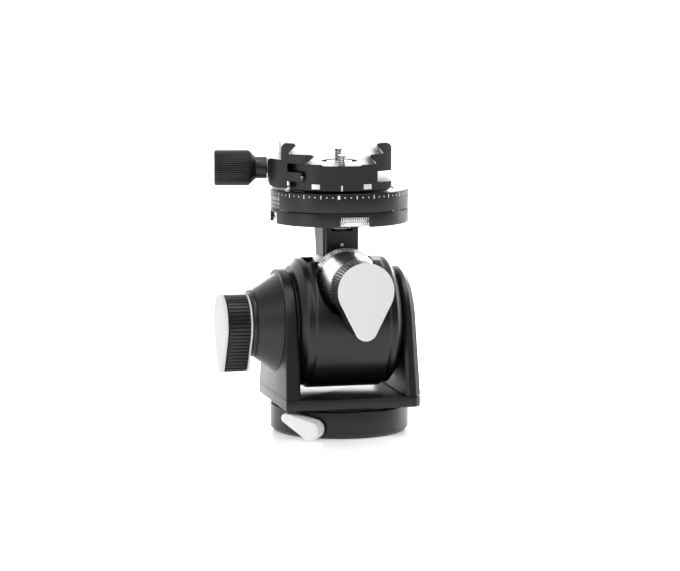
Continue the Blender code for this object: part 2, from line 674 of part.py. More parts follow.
def slot_outline():
    """Round pocket for the stem's eye that opens upwards as far as the stem swings."""
    pocket = STEM_EYE + EYE_CLEARANCE
    flare = SIDE_SWING + STEM_LEAN + SWING_MARGIN
    offset = STEM_HALF_WIDTH + 3.0 * GAP
    edge = flare + math.asin(min(0.95, offset / pocket))
    rise = DRUM_RADIUS + TILT_HEIGHT + 2.0 * MM - SIDE_HEIGHT
    mouth = offset / math.cos(flare) + rise * math.tan(flare)
    side = (0.0, SIDE_HEIGHT)
    under = arc(side, pocket, TURN / 4.0 + edge, 5.0 * TURN / 4.0 - edge, 24)
    return under + [(mouth, SIDE_HEIGHT + rise), (-mouth, SIDE_HEIGHT + rise)]


def make_tilt_lock():
    """Cone housing on the left arm, the clamping screw and nut, and the journal that they grip."""
    root = arm_outer_at(TILT_HEIGHT)
    cavity_floor = HOUSING_NOSE_X + HOUSING_FLOOR
    cavity = JOURNAL_RADIUS + GAP
    collar = HOUSING_NOSE_X + HOUSING_COLLAR
    profile = [
        (cavity, -root),
        (HOUSING_ROOT_RADIUS, -root),
        (HOUSING_NOSE_RADIUS + HAIR, collar),
        (HOUSING_NOSE_RADIUS, HOUSING_NOSE_X),
        (screw_bore, HOUSING_NOSE_X),
        (screw_bore, cavity_floor),
        (cavity, cavity_floor),
    ]
    housing = turned("tilt_lock_housing", profile, BLACK_ANODISED, yoke_pivot, "X", tilt_at, True, 40)
    trim_root(housing)
    outer = -(root + JOURNAL_PROUD)
    inner = -(DRUM_HALF + GAP)
    ring("tilt_journal", screw_bore, JOURNAL_RADIUS, outer, inner, STEEL, tilt_pivot, "X", tilt_at, 32)
    bore = JOURNAL_RADIUS + GAP
    span = (inner - FRICTION_THICKNESS, inner)
    ring("left_friction_washer", bore, FRICTION_RADIUS, *span, POLYMER, tilt_pivot, "X", tilt_at, 32)
    rim = JOURNAL_RADIUS - GAP
    span = (outer - GAP - PRESSURE_THICKNESS, outer - GAP)
    ring("tilt_pressure_plate", screw_bore, rim, *span, STEEL, yoke_pivot, "X", tilt_at, 24)
    nut_span = (-DRUM_HALF + GAP, -DRUM_HALF + GAP + TILT_NUT_LENGTH)
    ring("tilt_nut", screw_bore, TILT_NUT_RADIUS, *nut_span, STEEL, tilt_pivot, "X", tilt_at, 20)
    screw_outer = TILT_KNOB_BACK - KNOB_PLATE - KNOB_BORE_DEPTH
    screw_inner = -DRUM_HALF + TILT_NUT_LENGTH - GAP
    rod("tilt_lock_screw", SCREW_RADIUS, screw_outer, screw_inner, STEEL, yoke_pivot, "X", tilt_at, 20)


def trim_root(housing):
    """Cut the housing's root to the arm's leaning outer face."""
    deep = HOUSING_ROOT_RADIUS + 5.0 * OVERRUN
    low = TILT_HEIGHT - deep
    high = TILT_HEIGHT + deep
    outline = [
        (-arm_outer_at(low) - GAP, low),
        (0.0, low),
        (0.0, high),
        (-arm_outer_at(high) - GAP, high),
    ]
    cut(housing, prism("housing_root_cut", outline, -deep, deep, None, yoke_pivot, "XZ"))


def make_teardrop_knob(name, back, length, axis, at, pivot):
    """Back plate, body and cap of a teardrop knob.  back is its station nearest the head."""
    plane = {"X": "YZ", "Y": "XZ"}[axis]
    sign = {"X": 1.0, "Y": -1.0}[axis]
    down = -TURN / 4.0
    full = [(a, b + at[2]) for a, b in teardrop(KNOB_ROUND, KNOB_TIP, KNOB_REACH, down)]
    inset_round = KNOB_ROUND - KNOB_BODY_INSET
    inset_tip = KNOB_TIP - KNOB_BODY_INSET
    inner = [(a, b + at[2]) for a, b in teardrop(inset_round, inset_tip, KNOB_REACH, down)]
    bore = SCREW_RADIUS + GAP
    plate_front = back - KNOB_PLATE
    body_back = plate_front - GAP
    body_front = body_back - length
    cap_back = body_front - GAP
    cap_front = cap_back - KNOB_CAP

    def slab(label, outline, near, far, finish):
        low, high = sorted((sign * near, sign * far))
        return prism(label, outline, low, high, finish, pivot, plane)

    plate = slab(name + "_back_plate", inner, back, plate_front, WHITE_CAP)
    body = slab(name + "_body", inner, body_back, body_front, BLACK_ANODISED)
    slab(name + "_cap", full, cap_back, cap_front, WHITE_CAP)
    bore_end = body_back - KNOB_BORE_DEPTH
    bore_tool = rod(name + "_bore_cut", bore, bore_end, back + OVERRUN, None, pivot, axis, at, 20)
    cut(plate, bore_tool)
    cut(body, bore_tool)


# ---------------------------------------------------------------- side tilt
side_pivot = pivot_at("side_pivot", side_at, tilt_pivot)


def make_side_lock():
    """Silver dial on the drum's front, with the screw, nut and spacer of the side lock."""
    profile = [
        (screw_bore, DIAL_BACK),
        (DIAL_RADIUS, DIAL_BACK),
        (DIAL_RADIUS - HAIR, DIAL_BACK - DIAL_LENGTH / 4.0),
        (DIAL_WAIST_RADIUS, DIAL_BACK - DIAL_LENGTH / 2.0),
        (DIAL_NECK_RADIUS, DIAL_BACK - 3.0 * DIAL_LENGTH / 4.0),
        (DIAL_NOSE_RADIUS, DIAL_FRONT),
        (screw_bore, DIAL_FRONT),
    ]
    turned("side_dial", profile, SILVER, tilt_pivot, "Y", side_at)
    spacer_span = (SPACER_FRONT, SPACER_BACK)
    radius = SPACER_RADIUS
    ring("side_spacer", screw_bore, radius, *spacer_span, BLACK_ANODISED, tilt_pivot, "Y", side_at, 28)
    disc_span = (STEM_FRONT - GAP - SIDE_DISC_THICKNESS, STEM_FRONT - GAP)
    disc_radius = STEM_EYE - GAP
    ring("side_friction_disc", screw_bore, disc_radius, *disc_span, POLYMER, tilt_pivot, "Y", side_at, 24)
    nut_span = (SIDE_NUT_SEAT + GAP, SIDE_NUT_SEAT + GAP + SIDE_NUT_LENGTH)
    ring("side_nut", screw_bore, SIDE_NUT_RADIUS, *nut_span, STEEL, tilt_pivot, "Y", side_at, 20)
    screw_front = SIDE_KNOB_BACK - KNOB_PLATE - KNOB_BORE_DEPTH
    screw_back = nut_span[1] - GAP
    rod("side_lock_screw", SCREW_RADIUS, screw_front, screw_back, STEEL, tilt_pivot, "Y", side_at, 20)


def make_stem():
    """Stem: a round eye on the side-tilt axis and a rectangular column up to the turning unit."""
    rise = STEM_TOP - SIDE_HEIGHT
    shoulder = STEM_FRONT + STEM_FACE_DEPTH
    outline = [
        (-STEM_FACE, STEM_FRONT),
        (STEM_FACE, STEM_FRONT),
        (STEM_FACE, shoulder - STEM_STEP),
        (STEM_HALF_WIDTH, shoulder + STEM_STEP),
        (STEM_HALF_WIDTH, STEM_BACK - STEM_EYE_STEP),
        (-STEM_HALF_WIDTH, STEM_BACK - STEM_EYE_STEP),
        (-STEM_HALF_WIDTH, shoulder + STEM_STEP),
        (-STEM_FACE, shoulder - STEM_STEP),
    ]
    stem = prism("stem", outline, SIDE_HEIGHT, STEM_TOP, BLACK_ANODISED, side_pivot)
    widen = 1.0 + math.tan(STEM_LEAN) * rise / STEM_HALF_WIDTH
    for vertex in stem.data.vertices:
        if vertex.co.z > SIDE_HEIGHT + rise / 2.0:
            vertex.co.x *= widen
    eye_span = (STEM_FRONT + STEM_EYE_STEP, STEM_BACK)
    eye = rod("stem_eye_join", STEM_EYE, *eye_span, None, side_pivot, "Y", side_at, 36)
    flange_span = (STEM_TOP - STEM_FLANGE, STEM_TOP + GAP / 3.0)
    flange = rod("stem_flange_join", STEM_FLANGE_RADIUS, *flange_span, None, side_pivot, sides=28)
    boolean(stem, eye, "UNION")
    boolean(stem, flange, "UNION")
    bore_span = in_span(STEM_FRONT, STEM_BACK)
    cut(stem, rod("stem_bore_cut", screw_bore, *bore_span, None, side_pivot, "Y", side_at, 28))
    clip_bore = SPINDLE_RADIUS + CLIP_WIDTH + 2.0 * GAP
    clip_span = (SPINDLE_BOTTOM - GAP, STEM_TOP + OVERRUN)
    cut(stem, rod("clip_recess_cut", clip_bore, *clip_span, None, side_pivot, sides=32))
    dot_at = (0.0, 0.0, SIDE_HEIGHT + INDEX_RISE)
    hole_span = (STEM_FRONT - OVERRUN, STEM_FRONT + INDEX_DEPTH)
    hole_radius = INDEX_RADIUS + GAP
    cut(stem, rod("index_hole_cut", hole_radius, *hole_span, None, side_pivot, "Y", dot_at, 12))
    dot_span = (STEM_FRONT, STEM_FRONT + INDEX_DEPTH - GAP)
    rod("index_dot", INDEX_RADIUS, *dot_span, WHITE_DOT, side_pivot, "Y", dot_at, 12)


# ---------------------------------------------------------------- upper turning unit
pan_frame = pivot_at("pan_frame", (0.0, 0.0, 0.0), None, REST_PAN)


def make_turning_unit():
    """Housing on the stem, guard ring with windows, lock ring, scale ring and the spindle inside."""
    bore = SPINDLE_RADIUS + GAP
    core = LOCK_RING_INNER - GAP
    profile = [
        (bore, HOUSING_TOP),
        (HOUSING_RADIUS, HOUSING_TOP),
        (HOUSING_RADIUS, HOUSING_UNDERSIDE),
        (core, HOUSING_UNDERSIDE),
        (core, DISC_BOTTOM),
        (bore, DISC_BOTTOM),
    ]
    turned("pan_housing", profile, BLACK_ANODISED, side_pivot)
    inner = DISC_RADIUS - GUARD_WALL
    rim = DISC_RADIUS
    guard = ring("guard_ring", inner, rim, DISC_BOTTOM, GUARD_TOP, BLACK_ANODISED, side_pivot, sides=48)
    half_width = DISC_RADIUS * math.sin(WINDOW_ANGLE / 2.0)
    window_top = GUARD_TOP - WINDOW_BRIDGE
    for number in range(WINDOWS):
        low = (-half_width, -rim - OVERRUN, DISC_BOTTOM - OVERRUN)
        high = (half_width, 2.0 * OVERRUN - inner, window_top)
        window = box(f"window_{number}_cut", low, high, None)
        window.data.transform(Matrix.Rotation(number * TURN / WINDOWS, 4, "Z"))
        window.parent = side_pivot
        window.matrix_parent_inverse = Matrix.Translation(-side_pivot.location)
        cut(guard, window)
    lock_span = (DISC_BOTTOM + GAP, LOCK_RING_TOP)
    ring("pan_lock_ring", LOCK_RING_INNER, inner - GAP, *lock_span, SILVER, side_pivot, sides=40)
    inner = HOUSING_RADIUS + GAP
    ring("pan_scale_ring", inner, rim, SCALE_BOTTOM, DISC_TOP, BLACK_ANODISED, side_pivot, sides=48)
    washer_span = (PAN_WASHER_BOTTOM, PAN_WASHER_BOTTOM + WASHER_THICKNESS)
    ring("pan_thrust_washer", bore, HOUSING_RADIUS - GAP, *washer_span, POLYMER, side_pivot, sides=24)


def make_spindle():
    """Spindle that the clamp turns on, with the clip that keeps it in the housing."""
    bore = BOLT_RADIUS + GAP
    profile = [
        (bore, SPINDLE_TOP),
        (SPINDLE_BOSS, SPINDLE_TOP),
        (SPINDLE_BOSS, SPINDLE_FLANGE_TOP),
        (HOUSING_RADIUS, SPINDLE_FLANGE_TOP),
        (HOUSING_RADIUS, SPINDLE_FLANGE_BOTTOM),
        (SPINDLE_RADIUS, SPINDLE_FLANGE_BOTTOM),
        (SPINDLE_RADIUS, SPINDLE_BOTTOM),
        (bore, SPINDLE_BOTTOM),
    ]
    turned("pan_spindle", profile, STEEL, pan_frame, sides=28)
    inner = SPINDLE_RADIUS + GAP
    span = (STEM_TOP - GAP - CLIP_THICKNESS, STEM_TOP - GAP)
    ring("spindle_clip", inner, inner + CLIP_WIDTH, *span, STEEL, pan_frame, sides=20)


# ---------------------------------------------------------------- clamp
def clamp_outline():
    """Fixed jaw and floor seen from the front: two dovetail steps right, a slotted side left."""
    slot_floor_right = BODY_RIGHT - SLOT_DEPTH
    slot_floor_left = BODY_LEFT + SLOT_DEPTH
    shoulder = arc((BODY_RIGHT - JAW_ROUND, JAW_TOP - JAW_ROUND), JAW_ROUND, 0.0, TURN / 4.0, 6)
    groove = CLAMP_FLOOR - GROOVE_DEPTH
    right = [
        (BODY_LEFT, CLAMP_BOTTOM),
        (BODY_RIGHT - FOOT_CHAMFER, CLAMP_BOTTOM),
        (BODY_RIGHT, CLAMP_BOTTOM + FOOT_CHAMFER),
        (BODY_RIGHT, SLOT_LOW),
        (slot_floor_right, SLOT_LOW),
        (slot_floor_right, SLOT_HIGH),
        (BODY_RIGHT, SLOT_HIGH),
    ]
    steps = [
        (WIDE_LIP + LIP_FLAT, JAW_TOP),
        (WIDE_LIP, JAW_TOP - LIP_FLAT),
        (WIDE_CORNER, LEDGE + CORNER_FLAT),
        (WIDE_CORNER, LEDGE),
        (NARROW_LIP + LIP_FLAT, LEDGE),
        (NARROW_LIP, LEDGE - LIP_FLAT),
        (NARROW_CORNER, CLAMP_FLOOR + CORNER_FLAT),
        (NARROW_CORNER, CLAMP_FLOOR),
        (GROOVE_HALF_WIDTH, CLAMP_FLOOR),
        (GROOVE_HALF_WIDTH - GROOVE_DEPTH, groove),
        (GROOVE_DEPTH - GROOVE_HALF_WIDTH, groove),
        (-GROOVE_HALF_WIDTH, CLAMP_FLOOR),
        (BODY_LEFT, CLAMP_FLOOR),
        (BODY_LEFT, SLOT_HIGH),
        (slot_floor_left, SLOT_HIGH),
        (slot_floor_left, SLOT_LOW),
        (BODY_LEFT, SLOT_LOW),
    ]
    return right + shoulder + steps


def jaw_outline():
    """The moving jaw seen from the front, with its lip, its ledge and the tongue in the body's slot."""
    tip = JAW_INNER + TONGUE_LENGTH
    wide_corner = JAW_SHIFT + WIDE_CORNER
    wide_lip = JAW_SHIFT + WIDE_LIP
    back = wide_lip + LIP_FLAT + JAW_WALL + JAW_ROUND
    shoulder = arc((JAW_ROUND - back, JAW_TOP - JAW_ROUND), JAW_ROUND, TURN / 4.0, TURN / 2.0, 6)
    inside = [
        (JAW_INNER, JAW_BOTTOM),
        (JAW_INNER, SLOT_LOW + GAP),
        (tip, SLOT_LOW + GAP),
        (tip, SLOT_HIGH - GAP),
        (JAW_INNER, SLOT_HIGH - GAP),
        (JAW_INNER, CLAMP_FLOOR + GAP),
        (-NARROW_CORNER - 2.0 * GAP, CLAMP_FLOOR + GAP),
        (-NARROW_CORNER - GAP, CLAMP_FLOOR + CORNER_FLAT),
        (-NARROW_LIP, LEDGE - LIP_FLAT),
        (-NARROW_LIP - LIP_FLAT, LEDGE),
        (-wide_corner, LEDGE),
        (-wide_corner, LEDGE + CORNER_FLAT),
        (-wide_lip, JAW_TOP - LIP_FLAT),
        (-wide_lip - LIP_FLAT, JAW_TOP),
    ]
    outside = [
        (-back, JAW_BOSS_TOP),
        (JAW_BOSS_LEFT + LIP_FLAT, JAW_BOSS_TOP),
        (JAW_BOSS_LEFT, JAW_BOSS_TOP - LIP_FLAT),
        (JAW_BOSS_LEFT, JAW_BOTTOM + LIP_FLAT),
        (JAW_BOSS_LEFT + LIP_FLAT, JAW_BOTTOM),
    ]
    return inside + shoulder + outside


screw_line = (0.0, 0.0, JAW_SCREW_HEIGHT)
guide_height = (SLOT_LOW + SLOT_HIGH) / 2.0


def make_clamp_body():
    """Fixed jaw, floor and body of the clamp in one round-ended piece."""
    length = CLAMP_RADIUS + 2.0 * OVERRUN
    body = prism("clamp_body", clamp_outline(), -length, length, BLACK_ANODISED, pan_frame, "XZ")
    round_span = in_span(CLAMP_BOTTOM, JAW_TOP)
    keep = rod("clamp_round_keep", CLAMP_RADIUS, *round_span, None, pan_frame, sides=48)
    boolean(body, keep, "INTERSECT")
    steps = [(BOLT_RECESS, JAW_TOP), (BOLT_RADIUS + GAP, BOLT_SEAT - GAP)]
    cut(body, stepped_cutter("bolt_hole_cut", steps, round_span[0], pan_frame, "Z"))
    span = (BODY_LEFT - 2.0 * OVERRUN, JAW_SCREW_END + GAP)
    bore = JAW_SCREW_RADIUS + GAP
    cut(body, rod("jaw_screw_bore_cut", bore, *span, None, pan_frame, "X", screw_line, 20))
    for name, y in guides():
        at = (0.0, y, guide_height)
        cut(body, rod(name + "_bore_cut", GUIDE_RADIUS + GAP, *span, None, pan_frame, "X", at, 12))
    for name, y in safety_pins():
        at = (0.0, y, 0.0)
        span = (CLAMP_BOTTOM + PIN_HOLE_FLOOR, JAW_TOP)
        cut(body, rod(name + "_hole_cut", PIN_RADIUS + GAP, *span, None, pan_frame, "Z", at, 16))


def guides():
    """Names and places of the jaw's two guide pins."""
    return [("front_guide_pin", -GUIDE_SPREAD), ("rear_guide_pin", GUIDE_SPREAD)]


def safety_pins():
    """Names and places of the two sprung safety pins on the clamp's centre line."""
    return [("front_safety_pin", FRONT_PIN_Y), ("rear_safety_pin", REAR_PIN_Y)]


def make_moving_jaw():
    """Moving jaw with its guide pins, clamping screw and knob."""
    length = CLAMP_RADIUS + 2.0 * OVERRUN
    jaw = prism("moving_jaw", jaw_outline(), -length, length, BLACK_ANODISED, pan_frame, "XZ")
    round_span = in_span(JAW_BOTTOM, JAW_TOP)
    at = (-JAW_SHIFT, 0.0, 0.0)
    keep = rod("jaw_round_keep", CLAMP_RADIUS, *round_span, None, pan_frame, "Z", at, 48)
    boolean(jaw, keep, "INTERSECT")
    span = (JAW_BOSS_LEFT - 2.0 * OVERRUN, BODY_LEFT + SLOT_DEPTH)
    cut(jaw, rod("jaw_bore_cut", JAW_SCREW_RADIUS + GAP, *span, None, pan_frame, "X", screw_line, 20))
    guide_start = JAW_BOSS_LEFT + GUIDE_INSET
    for name, y in guides():
        line = (0.0, y, guide_height)
        hole_span = (guide_start - GAP, BODY_LEFT + SLOT_DEPTH)
        cut(jaw, rod(name + "_jaw_cut", GUIDE_RADIUS + GAP, *hole_span, None, pan_frame, "X", line, 12))
        rod(name, GUIDE_RADIUS, guide_start, JAW_SCREW_END - JAW_GAP, STEEL, pan_frame, "X", line, 12)
    neck_end = JAW_BOSS_LEFT - GAP
    cone_end = neck_end - CLAMP_KNOB_NECK_LENGTH
    grip_end = cone_end - CLAMP_KNOB_CONE
    outer_end = grip_end - CLAMP_KNOB_LENGTH
    bore = JAW_SCREW_RADIUS + GAP
    bore_end = grip_end - CLAMP_KNOB_LENGTH / 2.0
    profile = [
        (bore, neck_end),
        (CLAMP_KNOB_NECK, neck_end),
        (CLAMP_KNOB_NECK, cone_end),
        (CLAMP_KNOB_RADIUS, grip_end),
        (CLAMP_KNOB_RADIUS, outer_end),
        (0.0, outer_end),
    ]
    profile = [(0.0, bore_end), (bore, bore_end)] + profile
    turned("clamp_knob", profile, BLACK_ANODISED, pan_frame, "X", screw_line, False, 32)
    screw_span = (bore_end + GAP, JAW_SCREW_END - JAW_GAP)
    rod("clamp_screw", JAW_SCREW_RADIUS, *screw_span, STEEL, pan_frame, "X", screw_line, 16)


def make_spring(name, at_y, low, high):
    """A small coil spring under a safety pin."""
    coil_radius = PIN_RADIUS - SPRING_WIRE
    count = SPRING_TURNS * SPRING_POINTS
    curve = bpy.data.curves.new(name, "CURVE")
    curve.dimensions = "3D"
    curve.bevel_depth = SPRING_WIRE
    curve.bevel_resolution = 0
    curve.use_fill_caps = True
    spline = curve.splines.new("POLY")
    spline.points.add(count)
    for i, point in enumerate(spline.points):
        angle = SPRING_TURNS * TURN * i / count
        height = low + SPRING_WIRE + (high - low - 2.0 * SPRING_WIRE) * i / count
        point.co = (coil_radius * math.cos(angle), at_y + coil_radius * math.sin(angle), height, 1.0)
    source = bpy.data.objects.new(name + "_wire", curve)
    bpy.context.scene.collection.objects.link(source)
    bpy.context.view_layer.update()
    mesh = bpy.data.meshes.new_from_object(source.evaluated_get(bpy.context.evaluated_depsgraph_get()))
    weld(mesh)
    bpy.data.objects.remove(source, do_unlink=True)
    bpy.data.curves.remove(curve)
    mesh.materials.clear()
    place(name, mesh, STEEL, pan_frame)


def make_clamp_fittings():
    """Central bolt and the sprung safety pins."""
    profile = [
        (0.0, BOLT_TOP),
        (BOLT_HEAD_RADIUS, BOLT_TOP),
        (BOLT_HEAD_RADIUS, BOLT_SEAT),
        (BOLT_RADIUS, BOLT_SEAT),
        (BOLT_RADIUS, SPINDLE_BOTTOM + GAP),
        (0.0, SPINDLE_BOTTOM + GAP),
    ]
    turned("clamp_bolt", profile, STEEL, pan_frame, "Z", (0.0, 0.0, 0.0), False, 28)
    for name, y in safety_pins():
        rod(name, PIN_RADIUS, PIN_BOTTOM, PIN_TOP, STEEL, pan_frame, "Z", (0.0, y, 0.0), 16)
        floor = CLAMP_BOTTOM + PIN_HOLE_FLOOR
        make_spring(name + "_spring", y, floor + GAP, PIN_BOTTOM - GAP)


make_base()
make_base_lock()
make_yoke()
make_right_pivot()
make_drum()
make_tilt_lock()
make_teardrop_knob("tilt_knob", TILT_KNOB_BACK, TILT_KNOB_BODY, "X", tilt_at, yoke_pivot)
make_side_lock()
make_teardrop_knob("side_knob", SIDE_KNOB_BACK, SIDE_KNOB_BODY, "Y", side_at, tilt_pivot)
make_stem()
make_turning_unit()
make_spindle()
make_clamp_body()
make_moving_jaw()
make_clamp_fittings()
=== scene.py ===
"""Looks of a compact three-way pan and tilt head, laid out as an add-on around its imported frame."""

import json
import math
from itertools import product

import bmesh
import bpy
from mathutils import Matrix, Vector


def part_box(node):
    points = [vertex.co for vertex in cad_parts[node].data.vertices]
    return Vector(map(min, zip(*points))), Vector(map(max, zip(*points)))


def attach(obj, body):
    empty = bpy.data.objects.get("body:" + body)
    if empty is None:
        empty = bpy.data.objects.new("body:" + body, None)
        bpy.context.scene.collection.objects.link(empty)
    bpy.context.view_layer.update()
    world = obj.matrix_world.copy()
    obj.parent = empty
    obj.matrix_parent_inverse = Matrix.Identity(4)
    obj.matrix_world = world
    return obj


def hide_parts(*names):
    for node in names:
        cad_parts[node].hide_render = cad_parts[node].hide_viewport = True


bl_info = {
    "name": "Pan and tilt head",
    "version": (1, 0, 0),
    "blender": (4, 5, 0),
    "location": "View3D > Sidebar > Head",
    "description": "Builds the finished pieces of a compact pan and tilt head",
    "category": "Object",
}

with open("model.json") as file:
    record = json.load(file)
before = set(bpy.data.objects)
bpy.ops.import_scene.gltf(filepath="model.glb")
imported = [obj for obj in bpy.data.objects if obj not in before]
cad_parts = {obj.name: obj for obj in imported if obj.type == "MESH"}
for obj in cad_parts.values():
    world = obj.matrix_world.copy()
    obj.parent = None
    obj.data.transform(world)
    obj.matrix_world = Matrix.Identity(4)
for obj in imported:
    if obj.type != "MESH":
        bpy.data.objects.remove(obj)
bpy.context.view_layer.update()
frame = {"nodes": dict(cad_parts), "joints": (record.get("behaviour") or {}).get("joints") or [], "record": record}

MM = 0.001
TURN = 2.0 * math.pi
TINY = 0.000001
OVERRUN = 2.0 * MM
SMOOTH_ANGLE = math.radians(32.0)
EASE_STEPS = 3
FINE_SIDES = 192
ROUND_SIDES = 128
HOLE_SIDES = 64
THREAD_SIDES = 48
GUIDE_SIDES = 32

X_AXIS = Vector((1.0, 0.0, 0.0))
Y_AXIS = Vector((0.0, 1.0, 0.0))
Z_AXIS = Vector((0.0, 0.0, 1.0))
UPRIGHT = Matrix.Identity(4)

bodies = frame["record"]["behaviour"]["bodies"]
body_of_node = {node: body for body, members in bodies.items() for node in members}
slot_of_node = {entry["node"]: entry["material_slot"] for entry in frame["record"]["subparts"]}
joint_axis = {joint["name"]: Vector(joint["axis"]).normalized() for joint in frame["joints"]}
joint_height = {joint["name"]: joint["pos_m"][2] for joint in frame["joints"] if "pos_m" in joint}
clamp_out = joint_axis["jaw_slide"]
lever_out = joint_axis["base_lock_turn"]

LEVER_HEIGHT = joint_height["base_lock_turn"]
TILT_HEIGHT = joint_height["fore_aft_tilt"]
SIDE_HEIGHT = joint_height["side_tilt"]
SCREW_HEIGHT = joint_height["clamp_knob_turn"]
GAP = 0.3 * MM
POST_BORE = 7.8 * MM
HUB_BORE = 20.3 * MM
BASE_FLOOR = 2.4 * MM
BASE_CHAMFER = 1.5 * MM
SOCKET_RADIUS = 4.1 * MM
SOCKET_ROOF = 10.4 * MM
SCREW_BORE = 3.3 * MM
ARM_LEAN = 1.5 * MM
ARM_ROUND = 22.0 * MM
ARM_CHAMFER = 1.1 * MM
JOURNAL_BORE = 12.3 * MM
PIVOT_BORE = 6.3 * MM
YOKE_CHAMFER = 2.2 * MM
DRUM_RADIUS = 27.3 * MM
DRUM_STEP = 1.0 * MM
DRUM_BAND = 15.0 * MM
DRUM_SHOULDER = 18.4 * MM
DRUM_END_RADIUS = 23.0 * MM
DIAL_SEAT = 10.3 * MM
DIAL_RADIUS = 13.7 * MM
NOSE_RADIUS = 10.3 * MM
KNOB_ROUND = 11.5 * MM
KNOB_TIP = 4.6 * MM
KNOB_DROP = 15.3 * MM
STEM_EYE = 12.0 * MM
STEM_FACE = 6.75 * MM
STEM_HALF_WIDTH = 7.4 * MM
STEM_SPREAD = 1.166
STEM_FRONT = -5.0 * MM
STEM_TOP = 86.3 * MM
JAW_TOP = 120.3 * MM
JAW_ROUND = 2.4 * MM
LEDGE = 115.9 * MM
CLAMP_FLOOR = 111.9 * MM
CLAMP_BOTTOM = 101.0 * MM
CLAMP_RADIUS = 26.5 * MM
ABOVE_CLAMP = 122.0 * MM
WIDE_LIP = 14.1 * MM
WIDE_CORNER = 16.9 * MM
NARROW_LIP = 11.2 * MM
NARROW_CORNER = 14.0 * MM
LIP_EDGE = 0.8 * MM
CORNER_RELIEF = 0.6 * MM
CLAMP_EASE = 0.25 * MM
SLOT_LOW = 104.6 * MM
SLOT_HIGH = 108.9 * MM
SLOT_DEPTH = 5.8 * MM
BODY_RIGHT = 20.5 * MM
BODY_LEFT = -20.7 * MM
JAW_SHIFT = 4.3 * MM
DRAW_BORE = 2.3 * MM
DRAW_SCREW = 2.0 * MM
DRAW_PITCH = 1.25 * MM
GUIDE_BORE = 1.2 * MM
GUIDE_OFFSETS = (-9.0 * MM, 9.0 * MM)
PIN_RADIUS = 1.5 * MM
MARK_PROUD = 0.02 * MM
MARK_DEPTH = 0.2 * MM


def facing(along, height=0.0, up=Z_AXIS):
    """A place whose third axis is along, with up standing upright, at a height on the head's axis."""
    across = up.cross(along)
    turn = Matrix((across, up, along)).transposed().to_4x4()
    return Matrix.Translation((0.0, 0.0, height)) @ turn


tilt_place = facing(X_AXIS, TILT_HEIGHT)
left_place = facing(-X_AXIS, TILT_HEIGHT)
front_place = facing(-Y_AXIS, SIDE_HEIGHT)
front_section = facing(-Y_AXIS)
lever_place = facing(lever_out, LEVER_HEIGHT)
clamp_turn = Matrix((-clamp_out, Z_AXIS.cross(-clamp_out), Z_AXIS)).transposed().to_4x4()
clamp_section = facing(Z_AXIS.cross(clamp_out))
jaw_place = facing(clamp_out, SCREW_HEIGHT)
guide_places = [
    facing(clamp_out, (SLOT_LOW + SLOT_HIGH) / 2.0) @ Matrix.Translation((across, 0.0, 0.0))
    for across in GUIDE_OFFSETS
]


def reach_of(node, along):
    """Nearest and farthest station of a node's box along a direction."""
    low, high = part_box(node)
    corners = product((low.x, high.x), (low.y, high.y), (low.z, high.z))
    stations = [Vector(corner).dot(along) for corner in corners]
    return min(stations), max(stations)


def eased(points, radius, closed=True):
    """The same outline with its corners rounded off."""
    count = len(points)
    outline = []
    for i, corner in enumerate(points):
        corner = Vector(corner)
        if not closed and i in (0, count - 1):
            outline.append(tuple(corner))
            continue
        back = Vector(points[i - 1]) - corner
        ahead = Vector(points[(i + 1) % count]) - corner
        if back.length < TINY or ahead.length < TINY or math.pi - back.angle(ahead) < math.radians(18.0):
            outline.append(tuple(corner))
            continue
        pull = min(radius, 0.42 * back.length, 0.42 * ahead.length)
        start = corner + back.normalized() * pull
        end = corner + ahead.normalized() * pull
        for k in range(EASE_STEPS + 1):
            t = k / EASE_STEPS
            outline.append(tuple(start * (1 - t) ** 2 + corner * 2 * t * (1 - t) + end * t**2))
    return outline


def arc(centre, radius, start, end, steps):
    """Points on a circle from one angle to another."""
    angles = [start + (end - start) * i / steps for i in range(steps + 1)]
    return [(centre[0] + radius * math.cos(a), centre[1] + radius * math.sin(a)) for a in angles]


def loft(rings, loop=False, cap=False):
    """A mesh drawn through rings of as many points each."""
    work = bmesh.new()
    rows = [[work.verts.new(point) for point in ring] for ring in rings]
    pairs = list(zip(rows, rows[1:]))
    if loop:
        pairs.append((rows[-1], rows[0]))
    for near, far in pairs:
        for i in range(len(near)):
            j = (i + 1) % len(near)
            work.faces.new((near[i], near[j], far[j], far[i]))
    if cap:
        work.faces.new(rows[0])
        work.faces.new(rows[-1])
    bmesh.ops.remove_doubles(work, verts=work.verts, dist=TINY)
    bmesh.ops.recalc_face_normals(work, faces=work.faces)
    return work


def revolved(profile, sides=ROUND_SIDES, wave=None, loop=True):
    """A turned mesh from (radius, station) points.  wave changes a radius by station and angle."""
    rings = []
    for radius, station in profile:
        ring = []
        for i in range(sides):
            angle = TURN * i / sides
            r = wave(radius, station, angle) if wave else radius
            ring.append((r * math.cos(angle), r * math.sin(angle), station))
        rings.append(ring)
    return loft(rings, loop=loop)


def disc(profile, sides=ROUND_SIDES, wave=None):
    """A turned mesh whose profile starts and ends on the axis."""
    return revolved(profile, sides, wave, loop=False)


def stepped(*runs, inner=0.0):
    """Profile of a stepped bar or ring, from (radius, start, end) runs."""
    profile = [(inner, runs[0][1])]
    for radius, start, end in runs:
        profile += [(radius, start), (radius, end)]
    return profile + [(inner, runs[-1][2])]


def rod(radius, low, high, sides=HOLE_SIDES):
    """A plain round bar."""
    return disc(stepped((radius, low, high)), sides)


def hexagon(radius, low, high):
    """A six-sided bar."""
    ring = arc((0.0, 0.0), radius, 0.0, TURN * 5.0 / 6.0, 5)
    return loft([[(a, b, s) for a, b in ring] for s in (low, high)], cap=True)


